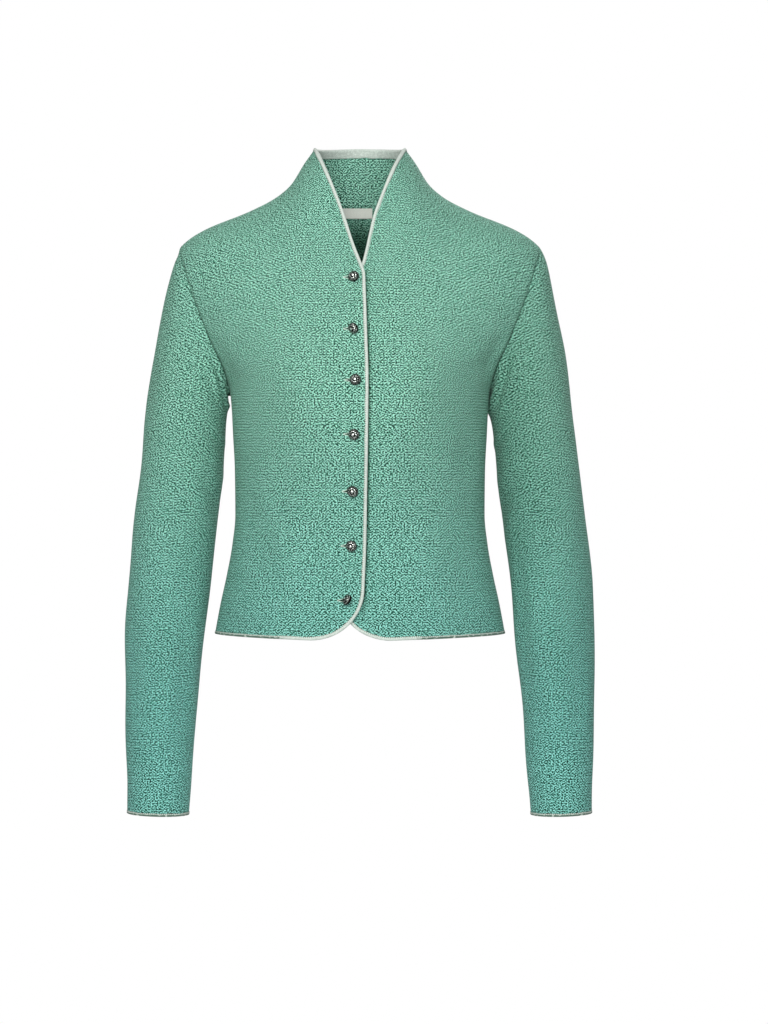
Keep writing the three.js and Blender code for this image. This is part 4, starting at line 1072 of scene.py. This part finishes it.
strip = {
    # mm: what it covers outside and inside, how far it stands up and how far its fold stands past
    # the cloth's edge; and how soiled it looks outside, on the fold and inside, 0 to 1, which on the
    # hem's fold is painted shade
    "edge": {"outside": 2.6, "inside": 3.1, "plump": 1.15, "beyond": 1.0, "ease": 0.3,
             "dullOut": 0.1, "dullFold": 0.3, "dullIn": 0.5},
    "collar": {"outside": 2.4, "inside": 8.8, "plump": 0.9, "beyond": 1.2, "ease": 0.3,
               "dullOut": 0.15, "dullFold": 0.2, "dullIn": 0.35},
    "hem": {"outside": 2.1, "inside": 3.0, "plump": 0.4, "beyond": 1.1, "ease": 0.15,
            "dullOut": 0.3, "dullFold": 2.0, "dullIn": 1.5},
    "skin": 0.9,  # how thick it is on the inside
    "fold": 0.12, "lining": 0.3,  # past the cloth's edge on the fold, and off its inner face
    "sections": 11,  # points over each face; the cloth's side of the strip has fewer
    # what it comes to at a side seam and at a collar corner, and over how many mm
    "seam": {"plump": 0.1, "dullOut": 1.5}, "seamOver": 9,
    "corner": {"plump": 0.35, "beyond": 0.2}, "cornerOver": 6,
    # how unevenly it is sewn on: mm, the inner leg's share of that, and a share of the thickness
    "waver": 0.2, "waverInside": 1.3, "waverThick": 0.06,
    "waverShort": 9, "waverLong": 46,  # mm
    "hemFrom": 62, "hemOver": 20,  # mm past the front edge where the hem's braid takes over
    "rowsFrom": -100, "rowsOver": 50,  # height from which the walk keeps to the panel's rows
    "walkStep": 0.75, "walkReach": 9.7,  # mm in from the edge
    "hemRows": 8, "edgeColumns": 12,  # how much of a panel's grid a walk reads
}
walkPlaces = np.arange(0, strip["walkReach"], strip["walkStep"])


def walkOnGrid(points, normals, inwards):
    # points and normals are (places, steps in from the edge, 3); the walk is resampled so that
    # its places lie at even distances square to the edge
    reach = np.einsum("kmi,ki->km", points - points[:, :1], inwards)
    walked = np.stack([np.stack([np.interp(walkPlaces, reach[k], source[k, :, axis])
                                 for axis in range(3)], -1)
                       for source in (points, normals) for k in range(len(points))])
    walked = walked.reshape(2, len(points), len(walkPlaces), 3)
    return walked[0], walked[1]


def squareTo(edge, normals, towards, closed, flatEnds):
    # the direction in from the edge: normal x travel, on the panel's side, level in Y at a seam
    inwards = np.cross(normals, travelAlong(edge, closed))
    inwards *= np.sign(np.einsum("ki,ki->k", inwards, towards))[:, None]
    if flatEnds:
        inwards[[0, -1], 1] = 0
    return unit(inwards)


def makeBraidStrip(name, walk, inwards, shape, closed, replaced, seed, ends=(None, None)):
    # A closed section carried along the edge. Its outer leg is half an ellipse, the fold is a
    # round end, the inner leg a flatter ellipse; the way back follows the cloth. How far it reaches
    # over each face wavers with a sum of seven sine waves along the edge.
    points, normals = walk
    count = len(points)
    step = np.linalg.norm(np.diff(points[:, 0], axis=0), axis=-1)
    length = np.concatenate([[0], np.cumsum(step)])
    draw = np.random.default_rng(seed)
    waver = np.zeros(count)
    for _ in range(7):
        turns = np.round(length[-1] / draw.uniform(strip["waverShort"], strip["waverLong"]))
        waver += np.sin(2 * np.pi * turns * length / length[-1] + draw.uniform(0, 2 * np.pi))
    waver = (waver / 7 ** 0.5)[:, None]
    shape = {key: value * np.ones((count, 1)) for key, value in shape.items()}
    for end, distance in zip(ends, (length, length[-1] - length)):
        if end:
            near = 1 - smoothStep(distance[:, None] / strip[end + "Over"])
            shape.update({key: mix(shape[key], value, near) for key, value in strip[end].items()})
    outer = shape["outside"] + strip["waver"] * waver
    inner = shape["inside"] + strip["waverInside"] * strip["waver"] * waver
    beyond = shape["beyond"]
    ease, thick = shape["ease"], cloth["thickness"]
    under = thick + strip["lining"]
    arc = np.linspace(0, np.pi, strip["sections"])
    # along is the place in from the edge and out the height over the cloth's outer face
    along = np.concatenate([
        mix(-beyond, outer, (1 + np.cos(arc)) / 2),  # over the outer face and round to the fold
        np.repeat(-beyond - strip["fold"], 3, 1),  # down the fold
        mix(-beyond, inner, (1 - np.cos(arc)) / 2),  # and back over the inner face
        mix(inner, -0.15, np.linspace(0.02, 1, 6)),  # back to the edge close to the inner face
        np.full((count, 2), -0.2),  # up the cloth's edge
        mix(-0.15, outer, np.linspace(0, 0.98, 4)),  # and in again close to the outer face
    ], 1)
    out = np.concatenate([
        ease + shape["plump"] * np.sin(arc) ** 0.75,
        np.linspace(-0.15, -0.85, 3) * thick + 0 * outer,
        -under - strip["skin"] * np.sin(arc) ** 0.6 + 0 * outer,
        np.full((count, 6), -under + 0.05),
        np.linspace(-0.9, -0.1, 2) * thick + 0 * outer,
        np.repeat(ease - 0.05, 4, 1),
    ], 1)
    out = out * (1 + strip["waverThick"] * waver)
    place = np.arange(out.shape[1])
    dull = np.where(place < arc.size // 2, shape["dullOut"], shape["dullFold"])
    dull = np.where(place > arc.size + 5, shape["dullIn"], dull)
    k = np.arange(count)[:, None]
    spot = np.clip(along, 0, walkPlaces[-1] - 0.01) / strip["walkStep"]
    low = spot.astype(int)
    part = (spot - low)[..., None]
    base = mix(points[k, low], points[k, low + 1], part)
    normal = mix(normals[k, low], normals[k, low + 1], part)
    past = np.minimum(along, 0)[..., None] * inwards[:, None]
    section = base + past + normal * out[..., None]
    # u runs along the edge and v round the section, from the top of the outer leg
    around = arcAlong(closeColumns(section), 1)
    uv = np.stack([length[:, None] + 0 * around, around - around[:, [arc.size // 2]]], -1)
    ids = closeColumns(np.arange(section[..., 0].size).reshape(section.shape[:2]))
    if closed:
        onwards = np.array([length[-1] / (count - 1) * count, 0])
        faces = [gridFaces(np.concatenate([ids, ids[:1]]), np.concatenate([uv, uv[:1] + onwards]))]
    else:
        faces = [gridFaces(ids, uv), endFaces(ids, uv)]
    return makePiece(name, section.reshape(-1, 3), faces, braidMaterial, replaced,
                     {"dull": dull.ravel()})


def frontBraid(name, panel, seed):
    # down the front edge, round the corner and along the hem to the side seam
    side = panel["side"]
    x = np.concatenate([panel["x"][:0:-1, 0], panel["x"][0]])
    z = np.concatenate([panel["z"][:0:-1, 0], panel["z"][0]])
    corner = unit(np.stack([np.gradient(x), np.gradient(z)], -1))
    square = np.stack([-corner[:, 1], corner[:, 0]], -1) * side  # in from the edge, in the front view
    walkX = x[:, None] + square[:, :1] * walkPlaces
    walkZ = z[:, None] + square[:, 1:] * walkPlaces
    points = frontSurface(walkX, walkZ, side)
    normals = frontNormal(walkX, walkZ, side)
    both = ("points", "normals")
    edge, edgeNormals = (np.concatenate([panel[key][:0:-1, 0], panel[key][0]]) for key in both)
    inwards = squareTo(edge, edgeNormals, points[:, 3] - points[:, 0], False, True)
    # past the corner the walk follows the panel's own columns up from the hem, and by the collar
    # its rows in from the edge, which keep to the seams
    hem = lastRow + np.arange(panel["x"].shape[1])
    upColumns = (panel[key][:strip["hemRows"]].transpose(1, 0, 2) for key in both)
    onHem = walkOnGrid(*upColumns, inwards[hem])
    onHemShare = smoothStep((np.abs(x - x[lastRow]) - strip["hemFrom"]) / strip["hemOver"])
    onHemShare = onHemShare * (np.arange(len(x)) >= lastRow)
    upper = np.arange(lastRow - lowerRows)
    alongRows = (panel[key][lastRow - upper, :strip["edgeColumns"]] for key in both)
    onRows = walkOnGrid(*alongRows, inwards[upper])
    onRowsShare = smoothStep((z - strip["rowsFrom"]) / strip["rowsOver"])
    for kind, target in enumerate((points, normals)):
        target[hem] = mix(target[hem], onHem[kind], onHemShare[hem, None, None])
        target[upper] = mix(target[upper], onRows[kind], onRowsShare[upper, None, None])
    rise = smoothStep((z - cloth["underarmZ"]) / -cloth["underarmZ"])
    shape = {key: mix(mix(value, strip["hem"][key], onHemShare), strip["collar"][key], rise)[:, None]
             for key, value in strip["edge"].items()}
    return makeBraidStrip(name + "_braid", (points, normals), inwards, shape, False, (name,), seed,
                          ("corner", "seam"))


def rowBraid(name, panel, row, shape, closed, seed, ends=(None, None)):
    # along the panel's first or last row
    steps = np.arange(strip["hemRows"])
    steps = steps if row == 0 else -1 - steps
    points, normals = (panel[key][steps].transpose(1, 0, 2) for key in ("points", "normals"))
    inwards = squareTo(points[:, 0], normals[:, 0], points[:, 3] - points[:, 0], closed, not closed)
    walk = walkOnGrid(points, normals, inwards)
    return makeBraidStrip(name + "_braid", walk, inwards, shape, closed, (name,), seed, ends)


braids = {
    "front_right": frontBraid("binding_edge_right", frontRight, 31),
    "front_left": frontBraid("binding_edge_left", frontLeft, 32),
    "collar_back": rowBraid("binding_collar", collar, -1, strip["collar"], False, 33,
                            ("corner", "corner")),
    "back": rowBraid("binding_hem_back", back, 0, strip["hem"], False, 34, ("seam", "seam")),
    "sleeve_right": rowBraid("binding_cuff_right", sleeveRight, -1, strip["hem"], True, 35),
    "sleeve_left": rowBraid("binding_cuff_left", sleeveLeft, -1, strip["hem"], True, 36),
}
print("braid made")

button = {
    "radius": 6.1, "rim": 1.0, "dome": 3.9, "shank": 1.3, "lift": 0.5,  # mm
    "petals": 10, "beads": 24, "sides": 120, "domeRings": 26,
    # the relief's rings: height in mm, then place and half width as shares of the radius
    "petal": (0.36, 0.6, 0.15), "vein": (-0.2, 0.6, 0.13), "boss": (0.55, 0, 0.26),
    "groove": (-0.3, 0.37, 0.06), "bead": (0.34, 0.89, 0.05), "veinWidth": 0.16,
    "leanFrom": -1.5, "leanOver": 2.0, "leanLift": 0.55,  # the head leans from the shank's neck up
    "wearAndPaintedShade": 0.3, "byRelief": 1.2, "rubbedElsewhere": 0.15,
}
buttonRows = columns(("z", "x", "tilt", "tiltTowards"), [  # tilt and its direction in degrees
    (-80, -5.6, 16, 70), (-136, -5, 50, 125), (-191, -3.6, 13, 80), (-248, -4.8, 20, 100),
    (-308, -6.4, 12, 60), (-366, -7.8, 18, 110), (-424, -11.5, 52, 60)])
buttonhole = {
    "start": 3.5, "end": 11.2,  # mm along the hole from the button's centre
    "gape": 1.9, "closed": 0.12, "across": 0.65, "slant": 0.3, "tip": 0.9,
    "thread": 0.42, "spacing": 0.6, "stitchLift": 0.15,
    "slitBefore": 2.5, "slitIn": 0.06, "slitLift": 0.08, "plate": 0.25,
}


def buttonFrame(x, z):
    # local x runs away from the front edge and local z is the cloth's outward normal
    x, z = np.array(x, float), np.array(z, float)
    normal = frontNormal(x, z, -1)
    away = np.array([-1.0, 0, 0])
    away = unit(away - normal * away.dot(normal))
    return frontSurface(x, z, -1), np.stack([away, np.cross(normal, away), normal])


def makeButton(index, x, z, tilt, tiltTowards):
    # A turned profile (dome, rolled rim, flat back, shank). The dome is raised by a ring of petals,
    # 0.5 + 0.5 cos(10 a) with a vein cut between each two, by a boss in the middle with a groove
    # round it, and by a ring of beads, 0.5 + 0.5 cos(24 a), at the rim.
    radius, top = button["radius"], button["lift"] + button["rim"]
    lift, shank = button["lift"], button["shank"]
    dome = np.linspace(0.02, np.pi / 2, button["domeRings"])
    rim = np.linspace(0, np.pi / 2, 5)[1:]
    reach = np.concatenate([
        radius * np.sin(dome), radius - 0.35 * (1 - np.cos(rim)),
        [radius * 0.8, radius * 0.45, shank + 0.3, shank, shank, shank, 0.05]])
    height = np.concatenate([
        top + button["dome"] * np.cos(dome), top - (top - lift) * np.sin(rim),
        [lift + 0.15, lift + 0.1, lift + 0.05, 0.2, -2.5, -5.6, -5.7]])
    turn = np.linspace(0, 2 * np.pi, button["sides"] + 1)[:-1]
    share = np.clip(reach / radius, 0, 1)[:, None]
    onDome = (np.arange(len(reach)) < len(dome))[:, None] * 1.0
    petals, beads = button["petals"] * turn, button["beads"] * turn
    roundAbout = {
        "petal": (0.5 + 0.5 * np.cos(petals)) ** 0.6,
        "vein": bell(np.sin(petals / 2), button["veinWidth"]),
        "boss": 1, "groove": 1, "bead": 0.5 + 0.5 * np.cos(beads),
    }
    relief = 0
    for key, pattern in roundAbout.items():
        rise, at, half = button[key]
        relief = relief + rise * bell(share - at, half) * pattern
    relief = relief * onDome
    slope = np.arctan2(share * 0.8, 1)  # how far the dome's face leans out there
    out = reach[:, None] + relief * np.sin(slope)
    rise = height[:, None] + relief * np.cos(slope)
    local = np.stack([out * np.cos(turn), out * np.sin(turn), rise], -1)
    lean, towards = math.radians(tilt), math.radians(tiltTowards)
    axis = np.array([math.cos(towards), math.sin(towards), 0])
    above = np.clip((local[..., 2:] - button["leanFrom"]) / button["leanOver"], 0, 1)
    # the head leans on its shank, which stays in the hole
    tipped = (local * math.cos(lean) + np.cross(axis, local) * math.sin(lean)
              + axis * (local @ axis)[..., None] * (1 - math.cos(lean)))
    tipped[..., 2] += radius * math.sin(lean) * button["leanLift"]
    local = mix(local, tipped, above)
    place, axes = buttonFrame(x, z)
    points = (local @ axes + place).reshape(-1, 3)
    ids = closeColumns(np.arange(local[..., 0].size).reshape(local.shape[:2]))
    uv = np.stack(np.meshgrid(np.arange(ids.shape[1]), np.arange(ids.shape[0])), -1).astype(float)
    # real wear of the antique finish, bright on the high parts of the relief
    wearAndPaintedShade = np.clip(button["wearAndPaintedShade"] + relief * button["byRelief"], 0, 1)
    wearAndPaintedShade = mix(button["rubbedElsewhere"], wearAndPaintedShade, onDome)
    wearAndPaintedShade = np.broadcast_to(wearAndPaintedShade, ids[:, :-1].shape).ravel()
    name = f"button_{index}"
    return makePiece(name + "_metal", points, [gridFaces(ids, uv), endFaces(ids, uv)], metalMaterial,
                     (name,), {"wearAndPaintedShade": wearAndPaintedShade})


def makeStitches(name, starts, ends, ups, size, material, sides=6, steps=5):
    # Each stitch is a bowed tube, thinner at its ends: it rises from one end and dips into the
    # cloth at the other. Its points are (stitch, step along it, turn round it, 3).
    along = np.linspace(0, 1, steps)[:, None]
    bow = np.sin(np.pi * along)
    centre = mix(starts[:, None], ends[:, None], along) + ups[:, None] * bow * size * 0.9
    across = unit(np.cross(ends - starts, ups))[:, None, None]
    turn = np.linspace(0, 2 * np.pi, sides + 1)[:-1, None]
    ring = across * np.cos(turn) + ups[:, None, None] * np.sin(turn)
    points = centre[:, :, None] + ring * size * (0.35 + 0.65 * bow)[:, None]
    count = len(starts)
    ids = np.arange(count * steps * sides).reshape(count, steps, sides)
    ids = np.concatenate([ids, ids[..., :1]], -1)
    quads = np.stack([ids[:, :-1, :-1], ids[:, :-1, 1:], ids[:, 1:, 1:], ids[:, 1:, :-1]], -1)
    quads = quads.reshape(-1, 4)
    caps = np.concatenate([ids[:, 0, -2::-1], ids[:, -1, :-1]])
    flat = points.reshape(-1, 3)
    faces = [(part, flat[part][..., [0, 2]]) for part in (quads, caps)]
    return makePiece(name, flat, faces, material)


def gapeAt(share):
    # half the height of the open slit: widest by the shank, nearly closed at the far end
    return buttonhole["gape"] * (1 - share) ** 1.3 + buttonhole["closed"]


def buttonholeStitches():
    # bars square to the slit on both lips, close together, and a longer bar at the far end
    run = np.arange(buttonhole["start"], buttonhole["end"], buttonhole["spacing"])
    gape = gapeAt((run - buttonhole["start"]) / (buttonhole["end"] - buttonhole["start"]))
    lips = [(-run, gape * half, -run - buttonhole["slant"], (gape + buttonhole["across"]) * half)
            for half in (-1, 1)]
    tip = np.array([-buttonhole["end"]])
    lips.append((tip, -buttonhole["tip"] + 0 * tip, tip, buttonhole["tip"] + 0 * tip))
    starts, ends, ups = [], [], []
    for z, x in zip(buttonRows["z"], buttonRows["x"]):
        for fromX, fromZ, toX, toZ in lips:
            starts.append(frontSurface(x + fromX, z + fromZ, -1))
            ends.append(frontSurface(x + toX, z + toZ, -1))
            ups.append(frontNormal(x + fromX, z + 0.0 * fromZ, -1))
    starts, ends, ups = (np.concatenate(part) for part in (starts, ends, ups))
    lift = ups * buttonhole["stitchLift"]
    return makeStitches("buttonhole_stitching", starts + lift, ends + lift, ups, buttonhole["thread"],
                        threadMaterial)


def buttonholeSlits():
    # the dark of each open slit: a thin lens between the lips, x along it and z = +-gape across it
    share = np.linspace(0, 1, 15)
    across = np.linspace(-1, 1, 5)
    points, faces, first = [], [], 0
    for z, x in zip(buttonRows["z"], buttonRows["x"]):
        run = mix(buttonhole["start"] - buttonhole["slitBefore"], buttonhole["end"], share)
        slitX = x - run[:, None] + 0 * across
        slitZ = z + (gapeAt(share) - buttonhole["slitIn"])[:, None] * across
        normal = frontNormal(slitX, slitZ, -1)
        outer = frontSurface(slitX, slitZ, -1) + normal * buttonhole["slitLift"]
        points += [outer.reshape(-1, 3), (outer - normal * buttonhole["plate"]).reshape(-1, 3)]
        uv = np.stack([slitX, slitZ], -1)
        walls = wallFaces(slitX.size, len(share), uv, False)
        faces += [(ids + first, corners) for ids, corners in walls]
        first += 2 * slitX.size
    return makePiece("buttonhole_slits", np.concatenate(points), faces, slitMaterial)


for index, (z, x, tilt, tiltTowards) in enumerate(zip(*buttonRows.values()), 1):
    makeButton(index, x, z, tilt, tiltTowards)
stitching = buttonholeStitches()
slits = buttonholeSlits()
print("buttons and buttonholes made")

label = {
    "centre": -3.6, "width": 34, "bottom": 0, "top": 11, "thickness": 0.6,  # mm
    "standOff": 0.7, "ripple": 0.12, "ripples": 23,  # how its lower edge stands off and waves
    "columns": 40, "rows": 14,
}


def makeLabel():
    # a bare tape on the back's inner face; its lower edge stands off a little between its ends
    share = np.linspace(-0.5, 0.5, label["columns"] + 1)[None]
    up = np.linspace(0, 1, label["rows"] + 1)[:, None]
    x = label["centre"] + share * label["width"] + 0 * up
    z = mix(label["bottom"], label["top"], up) + 0 * share
    form = backSurface(x, z)
    normals = formNormal(backForm, x, z)
    lift = (label["standOff"] * (1 - up) ** 2 * (1 - 4 * share**2)
            + label["ripple"] * np.sin(share * label["ripples"]) * (1 - up))
    points = form - normals * (cloth["thickness"] + cloth["seamGap"] + lift)[..., None]
    uv = np.stack([x, z], -1)
    panel = {"points": points, "normals": normals}
    return makeWall("neck_label_tape", panel, uv, tapeMaterial, ("neck_label",),
                    label["thickness"])


labelPiece = makeLabel()
print("label made")
